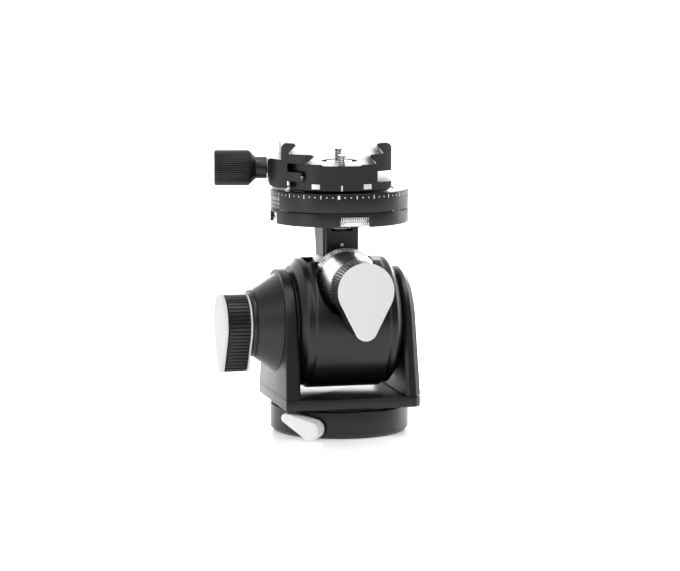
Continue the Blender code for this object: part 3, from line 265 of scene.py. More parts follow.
def slab(outline, low, high, edge=0.0):
    """An outline given thickness, with eased rims."""
    work = loft([[(a, b, s) for a, b in outline] for s in (low, high)], cap=True)
    if edge > 0.0:
        rims = [e for e in work.edges if abs(e.verts[0].co.z - e.verts[1].co.z) < TINY]
        bmesh.ops.bevel(work, geom=rims, offset=edge, segments=EASE_STEPS, profile=0.5, affect="EDGES")
    return work


def band(work, angles, stations, radii, proud=MARK_PROUD, depth=MARK_DEPTH):
    """A strip that lies on a turned surface, from one angle to the last, added to a mesh."""
    (low, high), (low_radius, high_radius) = stations, radii
    corners = [(low_radius - depth, low), (low_radius + proud, low)]
    corners += [(high_radius + proud, high), (high_radius - depth, high)]
    sections = [[(r * math.cos(angle), r * math.sin(angle), s) for r, s in corners] for angle in angles]
    strip = loft(sections, cap=True)
    mesh = bpy.data.meshes.new("strip")
    strip.to_mesh(mesh)
    strip.free()
    work.from_mesh(mesh)
    bpy.data.meshes.remove(mesh)


def thread(radius, depth, pitch, low, high):
    """A wave that cuts a helical thread into a turned surface between two stations."""

    def wave(r, station, angle):
        if abs(r - radius) > TINY or station <= low or station >= high:
            return r
        phase = (station / pitch - angle / TURN) % 1.0
        ridge = min(1.0, 2.6 * abs(phase - 0.5))
        fade = min(1.0, (station - low) / pitch, (high - station) / pitch)
        return r + depth * ridge * fade

    return wave


def thread_run(radius, low, high, pitch):
    """Profile points close enough together for a thread."""
    count = max(4, round(10 * (high - low) / pitch))
    return [(radius, low + (high - low) * i / count) for i in range(count + 1)]


def teardrop(round_radius, tip_radius, distance, direction, count):
    """Points and outward directions, evenly spaced round a circle drawn out to a small round tip."""
    spread = math.acos((round_radius - tip_radius) / distance)
    side = math.sqrt(distance**2 - (round_radius - tip_radius) ** 2)
    lengths = [round_radius * (TURN - 2.0 * spread), side, tip_radius * 2.0 * spread, side]
    total = sum(lengths)
    places = []
    for i in range(count):
        s = total * i / count
        if s < lengths[0]:
            angle = direction + spread + s / round_radius
            centre, radius, slide = 0.0, round_radius, 0.0
        elif s < lengths[0] + side:
            angle = direction - spread
            centre, radius, slide = 0.0, round_radius, s - lengths[0]
        elif s < total - side:
            angle = direction - spread + (s - lengths[0] - side) / tip_radius
            centre, radius, slide = distance, tip_radius, 0.0
        else:
            angle = direction + spread
            centre, radius, slide = distance, tip_radius, s - total + side
        normal = Vector((math.cos(angle), math.sin(angle)))
        along = Vector((-normal.y, normal.x))
        middle = Vector((math.cos(direction), math.sin(direction))) * centre
        places.append((middle + normal * radius + along * slide, normal))
    return places


def ribs_round(places, pitch):
    """How many ribs of a pitch go round a closed run of points."""
    points = [point for point, normal in places]
    length = sum((a - b).length for a, b in zip(points, points[1:] + points[:1]))
    return round(length / pitch)


def teardrop_stack(places, steps, rib=None):
    """A mesh through offset copies of a teardrop.  steps holds (offset, station, share of rib)."""
    rings = []
    for offset, station, share in steps:
        ring = []
        for i, (point, normal) in enumerate(places):
            out = offset - (share * rib(i) if rib else 0.0)
            spot = point + normal * out
            ring.append((spot.x, spot.y, station))
        rings.append(ring)
    return loft(rings, cap=True)


def add_mesh(name, work, place):
    """A mesh object in its place, not yet finished."""
    bmesh.ops.transform(work, matrix=place, verts=work.verts)
    bmesh.ops.recalc_face_normals(work, faces=work.faces)
    mesh = bpy.data.meshes.new(name)
    work.to_mesh(mesh)
    work.free()
    piece = bpy.data.objects.new(name, mesh)
    bpy.context.scene.collection.objects.link(piece)
    return piece


def carve(piece, work, place, operation="DIFFERENCE"):
    """Cut, join or keep part of a piece with a tool that is then removed."""
    tool = add_mesh("tool", work, place)
    step = piece.modifiers.new("carve", "BOOLEAN")
    step.operation = operation
    step.solver = "EXACT"
    step.object = tool
    bpy.context.view_layer.update()
    carved = piece.evaluated_get(bpy.context.evaluated_depsgraph_get())
    result = bpy.data.meshes.new_from_object(carved)
    old = piece.data
    piece.modifiers.clear()
    piece.data = result
    result.name = piece.name
    bpy.data.meshes.remove(old)
    shape = tool.data
    bpy.data.objects.remove(tool)
    bpy.data.meshes.remove(shape)


finishes = {}


def settle(piece, finish, *nodes, body=None, slot=None):
    """Shade a piece, give it a finish by name and let it ride and stand for its nodes."""
    mesh = piece.data
    mesh.shade_smooth()
    mesh.set_sharp_from_angle(angle=SMOOTH_ANGLE)
    mesh.materials.clear()
    mesh.materials.append(finishes[finish])
    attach(piece, body or body_of_node[nodes[0]])
    if nodes:
        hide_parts(*nodes)


def make_piece(name, work, place, finish, *nodes, **riding):
    """A piece that needs no cutting, made and settled in one go."""
    settle(add_mesh(name, work, place), finish, *nodes, **riding)


# ---------------------------------------------------------------- finishes
LINE_SHARE = 1.5
PLAIN_LOOK = {
    "edge": 0.12 * MM,
    "relief": 0.35,
    "depth": 0.01 * MM,
    "cloud": 140.0,
    "spread": 0.04,
    "dark": 0.8,
    "light": 1.2,
    # Share by which edges are mixed toward the worn colour: edge wear together with a painted edge highlight where
    # that colour is paler than the finish.
    "edge_wear_and_highlight": 0.2,
    "worn_and_highlight_colour": (0.30, 0.30, 0.30),
    "ior": 1.5,
}


def grow(tree, kind, sockets, **settings):
    """A shader node with its settings, and its sockets set to values or joined to other nodes."""
    node = tree.nodes.new("ShaderNode" + kind)
    for name, value in settings.items():
        setattr(node, name, value)
    for name, value in sockets.items():
        if isinstance(value, bpy.types.NodeSocket):
            tree.links.new(value, node.inputs[name])
        else:
            node.inputs[name].default_value = value
    return node


def mix_colours(tree, first, second, share):
    """A colour between two others, by a share that a node gives."""
    return grow(tree, "Mix", {"A": first, "B": second, "Factor": share}, data_type="RGBA").outputs["Result"]


def grain_height(tree, where, look):
    """Fine surface relief: blasted grain, and turned lines when asked for."""
    grain = grow(tree, "TexNoise", {"Scale": look["grain"], "Detail": 3.0, "Vector": where})
    if "lines" not in look:
        return grain.outputs["Fac"]
    stretch = grow(tree, "Mapping", {"Scale": look["lines"], "Vector": where})
    streaks = grow(tree, "TexNoise", {"Scale": 1.0, "Detail": 4.0, "Vector": stretch.outputs["Vector"]})
    both = {0: streaks.outputs["Fac"], 1: LINE_SHARE, 2: grain.outputs["Fac"]}
    return grow(tree, "Math", both, operation="MULTIPLY_ADD").outputs["Value"]


def make_finish(name, colour, metallic, roughness, settings):
    """A node material with grain, soft roughness changes and edges mixed toward a set colour: edge wear together
    with a painted edge highlight.
    """
    look = PLAIN_LOOK | settings
    material = bpy.data.materials.new(name)
    material.use_nodes = True
    tree = material.node_tree
    shader = tree.nodes["Principled BSDF"]
    shader.inputs["Metallic"].default_value = metallic
    shader.inputs["IOR"].default_value = look["ior"]
    where = grow(tree, "TexCoord", {}).outputs["Object"]

    edges = grow(tree, "Bevel", {"Radius": look["edge"]}, samples=4).outputs["Normal"]
    height = grain_height(tree, where, look)
    relief = {"Strength": look["relief"], "Distance": look["depth"], "Height": height, "Normal": edges}
    tree.links.new(grow(tree, "Bump", relief).outputs["Normal"], shader.inputs["Normal"])

    cloud = grow(tree, "TexNoise", {"Scale": look["cloud"], "Detail": 5.0, "Vector": where})
    gloss = {"To Min": roughness - look["spread"], "To Max": roughness + look["spread"]}
    gloss["Value"] = cloud.outputs["Fac"]
    tree.links.new(grow(tree, "MapRange", gloss).outputs["Result"], shader.inputs["Roughness"])

    speckle = grow(tree, "TexNoise", {"Scale": look["grain"] * 0.6, "Detail": 2.0, "Vector": where})
    dark = (*[c * look["dark"] for c in colour], 1.0)
    light = (*[min(1.0, c * look["light"]) for c in colour], 1.0)
    tone = mix_colours(tree, dark, light, speckle.outputs["Fac"])

    # Painted edge highlight together with edge wear: where the bevelled normal turns away from the flat one, the
    # colour is mixed toward the worn colour.
    flat = grow(tree, "NewGeometry", {}).outputs["Normal"]
    agree = grow(tree, "VectorMath", {0: edges, 1: flat}, operation="DOT_PRODUCT")
    bend = {"From Min": 0.995, "From Max": 0.90, "To Min": 0.0, "To Max": look["edge_wear_and_highlight"]}
    bend["Value"] = agree.outputs["Value"]
    edge_wear_and_highlight = grow(tree, "MapRange", bend).outputs["Result"]
    worn_and_highlight_colour = mix_colours(tree, tone, (*look["worn_and_highlight_colour"], 1.0), edge_wear_and_highlight)
    tree.links.new(worn_and_highlight_colour, shader.inputs["Base Color"])
    return material


def prepare_finishes(looks):
    """Every finish of the head, from the sidebar's colours."""
    black = looks.black
    gloss = looks.black_roughness
    blasted = {"grain": 7000.0, "depth": 0.012 * MM, "dark": 0.5, "light": 1.7, "edge_wear_and_highlight": 0.12}
    turned = {"grain": 7000.0, "dark": 0.6, "light": 1.5, "edge_wear_and_highlight": 0.12}
    bright = {"grain": 9000.0, "depth": 0.006 * MM, "edge_wear_and_highlight": 0.0}
    dial = bright | {"lines": (20.0, 9000.0, 20.0), "dark": 0.95, "light": 1.04}
    knurl = bright | {"lines": (20.0, 20.0, 9000.0), "dark": 0.9, "light": 1.05}
    # The pale caps' and lever's rims are painted lighter, near white: a painted edge highlight.
    pale = {"grain": 8000.0, "depth": 0.006 * MM, "relief": 0.25, "edge_wear_and_highlight": 0.5, "worn_and_highlight_colour": (0.95, 0.95, 0.95)}
    pale |= {"dark": 0.97, "light": 1.03, "spread": 0.03, "ior": 1.3}
    machined = {"lines": (30.0, 30.0, 6000.0), "dark": 0.85, "light": 1.1}
    steel = machined | {"grain": 9000.0, "depth": 0.006 * MM}
    brass = machined | {"grain": 7000.0, "depth": 0.008 * MM}
    blackened = {"grain": 7000.0, "lines": (6000.0, 30.0, 30.0), "depth": 0.006 * MM}
    acetal = {"grain": 5000.0, "edge_wear_and_highlight": 0.05}
    paint = {"grain": 6000.0, "depth": 0.008 * MM, "dark": 0.9, "light": 1.05, "edge_wear_and_highlight": 0.0}
    ink = {"grain": 6000.0, "depth": 0.005 * MM, "edge_wear_and_highlight": 0.0}
    upright = turned | {"lines": (15.0, 15.0, 5200.0)}
    lengthwise = turned | {"lines": (15.0, 5200.0, 15.0)}
    sideways = turned | {"lines": (5200.0, 15.0, 15.0)}
    recipes = {
        "black": ("black_blasted", black, 0.0, gloss, blasted),
        "black_turned": ("black_turned", black, 0.0, gloss - 0.04, upright),
        "black_front": ("black_front_turned", black, 0.0, gloss - 0.02, lengthwise),
        "black_side": ("black_side_turned", black, 0.0, gloss - 0.02, sideways),
        "silver_dial": ("silver_dial_turned", looks.silver, 1.0, 0.27, dial),
        "silver": ("silver_turned", looks.silver, 1.0, 0.22, knurl),
        "cap": ("pale_cap", looks.cap, 0.0, 0.55, pale),
        "lever": ("pale_lever", looks.lever, 0.0, 0.5, pale),
        "steel": ("machined_steel", looks.steel, 1.0, 0.26, steel),
        "black_steel": ("blackened_steel", (0.02, 0.02, 0.021), 0.6, 0.32, blackened),
        "brass": ("machined_brass", looks.brass, 1.0, 0.28, brass),
        "dark_polymer": ("dark_acetal", (0.03, 0.03, 0.03), 0.0, 0.48, acetal),
        "white_paint": ("white_fill", looks.marks, 0.0, 0.5, paint),
        "black_ink": ("black_fill", (0.012, 0.012, 0.012), 0.0, 0.5, ink),
    }
    for finish, recipe in recipes.items():
        finishes[finish] = make_finish(*recipe)
    finishes["black_anodised"] = finishes["black"]
    finishes["white_cap"] = finishes["cap"]


# ---------------------------------------------------------------- settings
def number_property(name, description, default, **kind):
    """A number the user can change in the sidebar."""
    return bpy.props.FloatProperty(name=name, description=description, default=default, **kind)


def size_property(name, description, default, **limits):
    """A length the user can change in the sidebar."""
    return number_property(name, description, default * MM, unit="LENGTH", **limits)


def count_property(name, description, default, least):
    """A count the user can change in the sidebar."""
    return bpy.props.IntProperty(name=name, description=description, default=default, min=least)


def colour_property(name, description, default):
    """A colour the user can change in the sidebar."""
    return bpy.props.FloatVectorProperty(
        name=name, description=description, default=default, subtype="COLOR", min=0.0, max=1.0
    )


class HeadSizes(bpy.types.PropertyGroup):
    """Sizes of the fine details."""

    edge: size_property("Edge rounding", "How far each machined edge is eased", 0.35, min=0.05 * MM, max=MM)
    tilt_rib_pitch: size_property("Tilt rib pitch", "Pitch of the tilt knob's ribs", 1.66, min=0.8 * MM)
    side_rib_pitch: size_property("Side rib pitch", "Pitch of the side knob's ribs", 1.25, min=0.8 * MM)
    rib_depth: size_property("Rib depth", "Depth of the knobs' ribs", 0.55, min=0.1 * MM)
    clamp_ribs: count_property("Clamp knob ribs", "Number of ribs round the clamp knob", 46, 12)
    ring_ribs: count_property("Lock ring ribs", "Number of ribs round the pan lock ring", 190, 60)
    mark_step: number_property(
        "Scale step", "Angle between the pan scale's marks", math.radians(5.0), subtype="ANGLE"
    )
    socket_pitch: size_property("Socket thread pitch", "Pitch of the tripod socket's thread", 1.5875)
    pin_pitch: size_property("Pin thread pitch", "Pitch of the safety pins' fine thread", 0.7)


class HeadLooks(bpy.types.PropertyGroup):
    """Colours and gloss of the finishes."""

    black: colour_property("Black anodising", "Colour of the anodised pieces", (0.0050, 0.0050, 0.0054))
    silver: colour_property("Silver", "Colour of the dial and the lock ring", (0.86, 0.86, 0.865))
    cap: colour_property("Caps", "Colour of the knobs' caps", (0.74, 0.74, 0.745))
    lever: colour_property("Lever", "Colour of the base lever", (0.88, 0.88, 0.885))
    steel: colour_property("Steel", "Colour of the screws and pins", (0.55, 0.55, 0.56))
    brass: colour_property("Brass", "Colour of the tripod socket", (0.72, 0.53, 0.25))
    marks: colour_property("Marks", "Colour of the scale's filled marks", (0.86, 0.86, 0.85))
    black_roughness: number_property(
        "Black roughness", "Roughness of the anodised pieces", 0.36, min=0.1, max=1.0, subtype="FACTOR"
    )


class HeadStudio(bpy.types.PropertyGroup):
    """The stage that the head is shown on."""

    azimuth: number_property(
        "Azimuth", "Camera's turn round the head from its front", math.radians(-13.5), subtype="ANGLE"
    )
    elevation: number_property(
        "Elevation", "Camera's rise above the middle of the head", math.radians(7.36), subtype="ANGLE"
    )
    distance: number_property("Distance", "Camera's distance from the head's middle", 1.3, unit="LENGTH")
    lens: number_property("Lens", "Camera's focal length in millimetres", 166.55)
    floor: colour_property("Floor", "Colour of the floor", (0.93, 0.93, 0.93))
    back_light: number_property("Back light", "Strength of the soft light from behind", 1.7, min=0.0)
    front_light: number_property("Front light", "Strength of the soft light from in front", 0.10, min=0.0)
    side_light: number_property("Side light", "Power of the soft lights on either side", 5.0, min=0.0)
    top_light: number_property("Top light", "Power of the soft lights overhead and behind", 5.0, min=0.0)


# ---------------------------------------------------------------- operators
class HEAD_OT_base(bpy.types.Operator):
    """Round base with its lock recess and the threaded tripod socket"""

    bl_idname = "head.make_base"
    bl_label = "Base"

    def execute(self, context):
        sizes = context.scene.head_sizes
        low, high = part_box("base_body")
        radius = high.x
        profile = [(HUB_BORE, high.z), (radius, high.z), (radius, BASE_CHAMFER)]
        profile += [(radius - BASE_CHAMFER, low.z), (POST_BORE, low.z)]
        profile += [(POST_BORE, BASE_FLOOR), (HUB_BORE, BASE_FLOOR)]
        body = add_mesh("base", revolved(eased(profile, sizes.edge), FINE_SIDES), UPRIGHT)
        inside, ledge, outside = HUB_BORE - 1.0 * MM, radius - 1.2 * MM, radius + OVERRUN
        recess = stepped((3.1 * MM, inside, ledge), (4.4 * MM, ledge, outside))
        carve(body, disc(recess, HOLE_SIDES), lever_place)
        settle(body, "black_turned", "base_body")

        low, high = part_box("tripod_socket_post")
        mouth = low.z + 0.5 * MM
        profile = [(0.0, high.z), (high.x, high.z), (high.x, low.z), (SOCKET_RADIUS + 0.7 * MM, low.z)]
        profile = eased(profile, sizes.edge, closed=False)
        profile += thread_run(SOCKET_RADIUS, mouth, SOCKET_ROOF, sizes.socket_pitch) + [(0.0, SOCKET_ROOF)]
        cutter = thread(SOCKET_RADIUS, 0.6 * MM, sizes.socket_pitch, mouth, SOCKET_ROOF)
        post = disc(profile, HOLE_SIDES, cutter)
        make_piece("tripod_socket", post, UPRIGHT, "brass", "tripod_socket_post")
        return {"FINISHED"}


# How far the lever's outline stands in, and how far out that is along it, in millimetres.
LEVER_STEPS = (
    *((-0.5, 0.0), (-0.15, 0.1), (0.0, 0.4), (0.0, 4.6), (-0.12, 4.8), (-0.5, 4.84), (-0.5, 5.1)),
    *((-0.12, 5.14), (0.0, 5.34), (0.0, 7.4), (-0.1, 7.75), (-0.35, 8.05), (-0.75, 8.2)),
)


class HEAD_OT_base_lever(bpy.types.Operator):
    """Teardrop lever that locks the base"""

    bl_idname = "head.make_base_lever"
    bl_label = "Base lever"

    def execute(self, context):
        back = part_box("base_body")[1].x + 0.7 * MM
        places = teardrop(3.9 * MM, 1.9 * MM, 11.4 * MM, math.radians(155.0), 160)
        steps = [(offset * MM, back + rise * MM, 0.0) for offset, rise in LEVER_STEPS]
        lever = add_mesh("base_lever", teardrop_stack(places, steps), lever_place)
        carve(lever, rod(2.7 * MM, back - OVERRUN, back + 4.1 * MM), lever_place)
        settle(lever, "lever", "base_lock_lever")
        return {"FINISHED"}


def arm_outer(height):
    """Distance of an arm's leaning outer face from the middle."""
    low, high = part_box("right_arm")
    return high.x - ARM_LEAN * (height - low.z) / (TILT_HEIGHT + ARM_ROUND - low.z)


def arm_ring(inset, side, station):
    """One ring of an arm.  station is a distance from the middle, or None for the leaning face."""
    low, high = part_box("right_arm")
    half = high.y - inset
    radius = ARM_ROUND - inset
    distance = math.hypot(high.y, TILT_HEIGHT - low.z)
    foot = math.atan2(low.z - TILT_HEIGHT, high.y)
    start = foot + math.acos(min(1.0, ARM_ROUND / distance))
    top = arc((0.0, TILT_HEIGHT), radius, start, TURN / 2.0 - start, 64)
    outline = [(-half, low.z), (half, low.z)] + top
    ring = []
    for y, z in outline:
        x = station if station > 0.0 else arm_outer(z) + station
        ring.append((side * x, y, z))
    return ring


class HEAD_OT_yoke(bpy.types.Operator):
    """Yoke plate, its two leaning arms and the right pivot's head"""

    bl_idname = "head.make_yoke"
    bl_label = "Yoke"

    def execute(self, context):
        edge = context.scene.head_sizes.edge
        low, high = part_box("yoke_plate")
        outline = [(low.x, low.y), (high.x - YOKE_CHAMFER, low.y), (high.x, low.y + YOKE_CHAMFER)]
        outline += [(high.x, high.y), (low.x, high.y)]
        plate = slab(eased(outline, edge), low.z, high.z, 0.3 * MM)
        make_piece("plate", plate, UPRIGHT, "black", "yoke_plate")
        self.make_arm("left_arm", -1.0, edge, JOURNAL_BORE)
        self.make_arm("right_arm", 1.0, YOKE_CHAMFER, PIVOT_BORE)

        near, far = reach_of("right_pivot_pin", X_AXIS)
        seat = far - 1.5 * MM
        profile = eased(stepped((8.5 * MM, far, seat), (6.0 * MM, seat, near)), edge, closed=False)
        pin = add_mesh("right_pivot", disc(profile), tilt_place)
        carve(pin, hexagon(3.5 * MM, far - 1.2 * MM, far + OVERRUN), tilt_place)
        settle(pin, "black_steel", "right_pivot_pin")
        return {"FINISHED"}

    def make_arm(self, node, side, chamfer, bore):
        """An arm whose outer rim is rounded when its chamfer is small, and flat when it is large."""
        inner = reach_of("right_arm", X_AXIS)[0]
        rings = [arm_ring(ARM_CHAMFER, side, inner), arm_ring(0.0, side, inner + ARM_CHAMFER)]
        for k in range(4):
            ease = drop = k / 3.0
            if chamfer < 1.0 * MM:
                ease = 1.0 - math.cos(drop * TURN / 4.0)
                drop = math.sin(drop * TURN / 4.0)
            rings.append(arm_ring(chamfer * ease, side, -chamfer * (1.0 - drop) - TINY))
        arm = add_mesh(node.replace("_", "_yoke_"), loft(rings, cap=True), UPRIGHT)
        carve(arm, rod(bore, side * inner - OVERRUN * 4, side * inner + OVERRUN * 4, ROUND_SIDES), tilt_place)
        settle(arm, "black", node)


class HEAD_OT_tilt_housing(bpy.types.Operator):
    """Cone housing of the tilt lock"""

    bl_idname = "head.make_tilt_housing"
    bl_label = "Tilt lock housing"

    def execute(self, context):
        near, far = reach_of("tilt_lock_housing", -X_AXIS)
        collar = far - 1.5 * MM
        floor = far - 5.5 * MM
        profile = [(JOURNAL_BORE, near), (20.2 * MM, near), (13.9 * MM, collar - 0.25 * MM)]
        profile += [(13.55 * MM, collar - 0.1 * MM), (13.55 * MM, collar + 0.1 * MM)]
        profile += [(13.8 * MM, collar + 0.2 * MM), (13.7 * MM, far), (SCREW_BORE, far)]
        profile += [(SCREW_BORE, floor), (JOURNAL_BORE, floor)]
        housing = add_mesh("tilt_housing", revolved(eased(profile, 0.3 * MM)), left_place)
        for vertex in housing.data.vertices:
            if -vertex.co.x < near + 0.5 * MM:
                vertex.co.x = -arm_outer(vertex.co.z) - 0.05 * MM
        settle(housing, "black_side", "tilt_lock_housing")
        return {"FINISHED"}


def slot_outline():
    """Pocket for the stem's eye, opening upwards as far as the stem swings."""
    pocket = STEM_EYE + 0.4 * MM
    flare = math.radians(35.0)
    offset = STEM_HALF_WIDTH + 3.0 * GAP
    edge = flare + math.asin(offset / pocket)
    rise = DRUM_RADIUS + TILT_HEIGHT + 2.0 * MM - SIDE_HEIGHT
    mouth = offset / math.cos(flare) + rise * math.tan(flare)
    under = arc((0.0, SIDE_HEIGHT), pocket, TURN / 4.0 + edge, 5.0 * TURN / 4.0 - edge, 48)
    return under + [(mouth, SIDE_HEIGHT + rise), (-mouth, SIDE_HEIGHT + rise)]


class HEAD_OT_drum(bpy.types.Operator):
    """Tilting drum with the stem's slot and the dial's bore"""

    bl_idname = "head.make_drum"
    bl_label = "Tilt drum"

    def execute(self, context):
        low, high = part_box("tilt_drum")
        shoulder = DRUM_RADIUS - DRUM_STEP
        half = [(DRUM_END_RADIUS, high.x), (shoulder, DRUM_SHOULDER)]
        half += [(shoulder, DRUM_BAND + DRUM_STEP), (DRUM_RADIUS, DRUM_BAND)]
        mirrored = [(radius, -x) for radius, x in reversed(half)]
        profile = [(0.0, high.x)] + half + mirrored + [(0.0, low.x)]
        shape = disc(eased(profile, 0.5 * MM, closed=False), FINE_SIDES)
        drum = add_mesh("drum", shape, tilt_place)
        carve(drum, slab(slot_outline(), -9.8 * MM, 9.1 * MM), front_section)
        front, nut_seat, back = 40.0 * MM, -14.0 * MM, -40.0 * MM
        bore = [(14.0 * MM, front, DIAL_SEAT), (SCREW_BORE, DIAL_SEAT, nut_seat), (5.3 * MM, nut_seat, back)]
        carve(drum, disc(stepped(*bore)), front_place)
        carve(drum, rod(6.5 * MM, low.x - OVERRUN, low.x + 9.0 * MM), tilt_place)
        carve(drum, rod(8.3 * MM, high.x - 7.5 * MM, high.x + OVERRUN), tilt_place)
        settle(drum, "black_side", "tilt_drum")
        return {"FINISHED"}


RIB_POINTS = 8
RIB_GAP = 0.24
GRIP_INSET = 0.3 * MM
GRIP_FIT = 0.2 * MM


def make_knob(prefix, along, place, rib_pitch, plate_inset, extra, depth):
    """Back plate, ribbed body and cap of a teardrop knob."""
    shape = (KNOB_ROUND + extra, KNOB_TIP + extra / 2.0, KNOB_DROP, -TURN / 4.0)
    smooth = teardrop(*shape, 240)
    near, far = reach_of(prefix + "_back_plate", along)
    rim, ease = plate_inset - 0.15 * MM, 0.12 * MM
    steps = [(rim, near, 0.0), (plate_inset, near + ease, 0.0)]
    steps += [(plate_inset, far - ease, 0.0), (rim, far, 0.0)]
    plate = add_mesh(prefix + "_washer", teardrop_stack(smooth, steps), place)
    carve(plate, rod(SCREW_BORE, near - OVERRUN, far + OVERRUN), place)
    settle(plate, "cap", prefix + "_back_plate")

    places = teardrop(*shape, ribs_round(smooth, rib_pitch) * RIB_POINTS)

    def rib(i):
        phase = abs((i % RIB_POINTS) / RIB_POINTS - 0.5)
        return depth * max(0.0, 1.0 - phase / RIB_GAP)

    near, far = reach_of(prefix + "_body", along)
    near -= GRIP_FIT
    far += GRIP_FIT
    rim, shoulder = -GRIP_INSET - 0.75 * MM, -GRIP_INSET - 0.45 * MM
    steps = [(rim, near, 0.0), (shoulder, near + 0.1 * MM, 0.3), (-GRIP_INSET, near + 0.5 * MM, 1.0)]
    steps += [(-GRIP_INSET, far - 0.5 * MM, 1.0), (shoulder, far - 0.1 * MM, 0.3), (rim, far, 0.0)]
    body = add_mesh(prefix + "_grip", teardrop_stack(places, steps, rib), place)
    carve(body, rod(SCREW_BORE, near - OVERRUN, near + 6.0 * MM), place)
    settle(body, "black", prefix + "_body")

    near, far = reach_of(prefix + "_cap", along)
    steps = [(-0.3 * MM, near, 0.0), (0.0, near + 0.2 * MM, 0.0), (0.0, far - 0.42 * MM, 0.0)]
    steps += [(-0.07 * MM, far - 0.2 * MM, 0.0), (-0.25 * MM, far - 0.04 * MM, 0.0), (-0.42 * MM, far, 0.0)]
    make_piece(prefix + "_face", teardrop_stack(smooth, steps), place, "cap", prefix + "_cap")


class HEAD_OT_tilt_knob(bpy.types.Operator):
    """Teardrop knob that locks the tilt"""

    bl_idname = "head.make_tilt_knob"
    bl_label = "Tilt knob"

    def execute(self, context):
        sizes = context.scene.head_sizes
        ribs = (sizes.tilt_rib_pitch, -0.3 * MM, 0.8 * MM, sizes.rib_depth)
        make_knob("tilt_knob", -X_AXIS, left_place, *ribs)
        return {"FINISHED"}


class HEAD_OT_side_knob(bpy.types.Operator):
    """Silver side-tilt dial, its spacer and the teardrop knob that locks it"""

    bl_idname = "head.make_side_knob"
    bl_label = "Side-tilt dial and knob"

    def execute(self, context):
        sizes = context.scene.head_sizes
        ribs = (sizes.side_rib_pitch, -1.6 * MM, 0.0, sizes.rib_depth)
        make_knob("side_knob", -Y_AXIS, front_place, *ribs)
        near, far = reach_of("side_dial", -Y_AXIS)
        rim = near + 0.35 * MM
        waist = near + 1.75 * MM
        shoulder = DIAL_RADIUS - 1.25 * MM

        def bell(station):
            if station <= waist:
                return DIAL_RADIUS - (DIAL_RADIUS - shoulder) * (station - rim) / (waist - rim)
            return shoulder - (shoulder - NOSE_RADIUS) * ((station - waist) / (far - waist)) ** 1.8

        stations = [rim, waist] + [waist + (far - waist) * i / 20 for i in range(1, 21)]
        profile = [(SCREW_BORE, near), (DIAL_RADIUS - 0.2 * MM, near)]
        profile += [(bell(s), s) for s in stations]
        profile += [(NOSE_RADIUS - 0.6 * MM, far), (SCREW_BORE, far)]
        make_piece("side_bell", revolved(profile, FINE_SIDES), front_place, "silver_dial", "side_dial")

        ticks = bmesh.new()
        for step in range(-13, 14):
            angle = TURN / 4.0 + math.radians(5.0) * step
            length, width = (1.2, 0.26) if step % 3 == 0 else (0.8, 0.2)
            start = rim + 0.1 * MM
            end = start + length * MM
            half = width * MM / DIAL_RADIUS / 2.0
            band(ticks, (angle - half, angle + half), (start, end), (bell(start), bell(end)))
        riding = {"body": "drum", "slot": "dark_polymer"}
        make_piece("side_dial_ticks", ticks, front_place, "black_ink", **riding)

        near, far = reach_of("side_spacer", -Y_AXIS)
        profile = eased(stepped((9.6 * MM, near, far), inner=SCREW_BORE), sizes.edge)
        make_piece("side_collar", revolved(profile), front_place, "black_front", "side_spacer")
        return {"FINISHED"}


def stem_ring(height, spread):
    """Section of the stem's column: a stepped front face with a groove beside it."""
    half = [
        (STEM_FACE - 0.45 * MM, STEM_FRONT),
        (STEM_FACE, STEM_FRONT + 0.45 * MM),
        (STEM_FACE, STEM_FRONT + 1.3 * MM),
        (STEM_FACE - 0.5 * MM, STEM_FRONT + 1.6 * MM),
        (STEM_FACE - 0.5 * MM, STEM_FRONT + 2.0 * MM),
        (STEM_HALF_WIDTH - 0.35 * MM, STEM_FRONT + 2.2 * MM),
        (STEM_HALF_WIDTH, STEM_FRONT + 2.6 * MM),
        (STEM_HALF_WIDTH, 8.6 * MM),
        (STEM_HALF_WIDTH - 0.6 * MM, 9.2 * MM),
    ]
    outline = half + [(-x, y) for x, y in reversed(half)]
    ring = []
    for x, y in outline:
        share = 1.0 if y > 0.0 else 0.2
        ring.append((x * (1.0 + (spread - 1.0) * share), y, height))
    return ring


class HEAD_OT_stem(bpy.types.Operator):
    """Stem with its eye, its foot under the disc and the white index dot"""

    bl_idname = "head.make_stem"
    bl_label = "Stem"

    def execute(self, context):
        rings = [stem_ring(SIDE_HEIGHT, 1.0), stem_ring(STEM_TOP, STEM_SPREAD)]
        stem = add_mesh("stem_column", loft(rings, cap=True), UPRIGHT)
        eye = stepped((STEM_EYE, -9.5 * MM, 7.7 * MM))
        carve(stem, disc(eased(eye, 0.4 * MM, closed=False)), front_place, "UNION")
        flange = stepped((11.5 * MM, STEM_TOP + 0.1 * MM, STEM_TOP - 1.5 * MM))
        carve(stem, disc(eased(flange, 0.3 * MM, closed=False)), UPRIGHT, "UNION")
        carve(stem, rod(SCREW_BORE, -20.0 * MM, 20.0 * MM), front_place)
        carve(stem, rod(6.7 * MM, 82.7 * MM, STEM_TOP + OVERRUN), UPRIGHT)
        settle(stem, "black", "stem")

        low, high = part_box("index_dot")
        radius = (high.x - low.x) / 2.0
        face = -STEM_FRONT
        profile = [(0.0, face - 0.4 * MM), (radius, face - 0.4 * MM), (radius, face)]
        profile += [(radius * 0.7, face + 0.06 * MM), (0.0, face + 0.09 * MM)]
        dot = disc(profile, HOLE_SIDES)
        make_piece("stem_index", dot, facing(-Y_AXIS, (low.z + high.z) / 2.0), "white_paint", "index_dot")
        return {"FINISHED"}


def turned_piece(name, node, profile, ease, sides=ROUND_SIDES, **riding):
    """An upright turned black ring with eased rims."""
    make_piece(name, revolved(eased(profile, ease), sides), UPRIGHT, "black_turned", node, **riding)


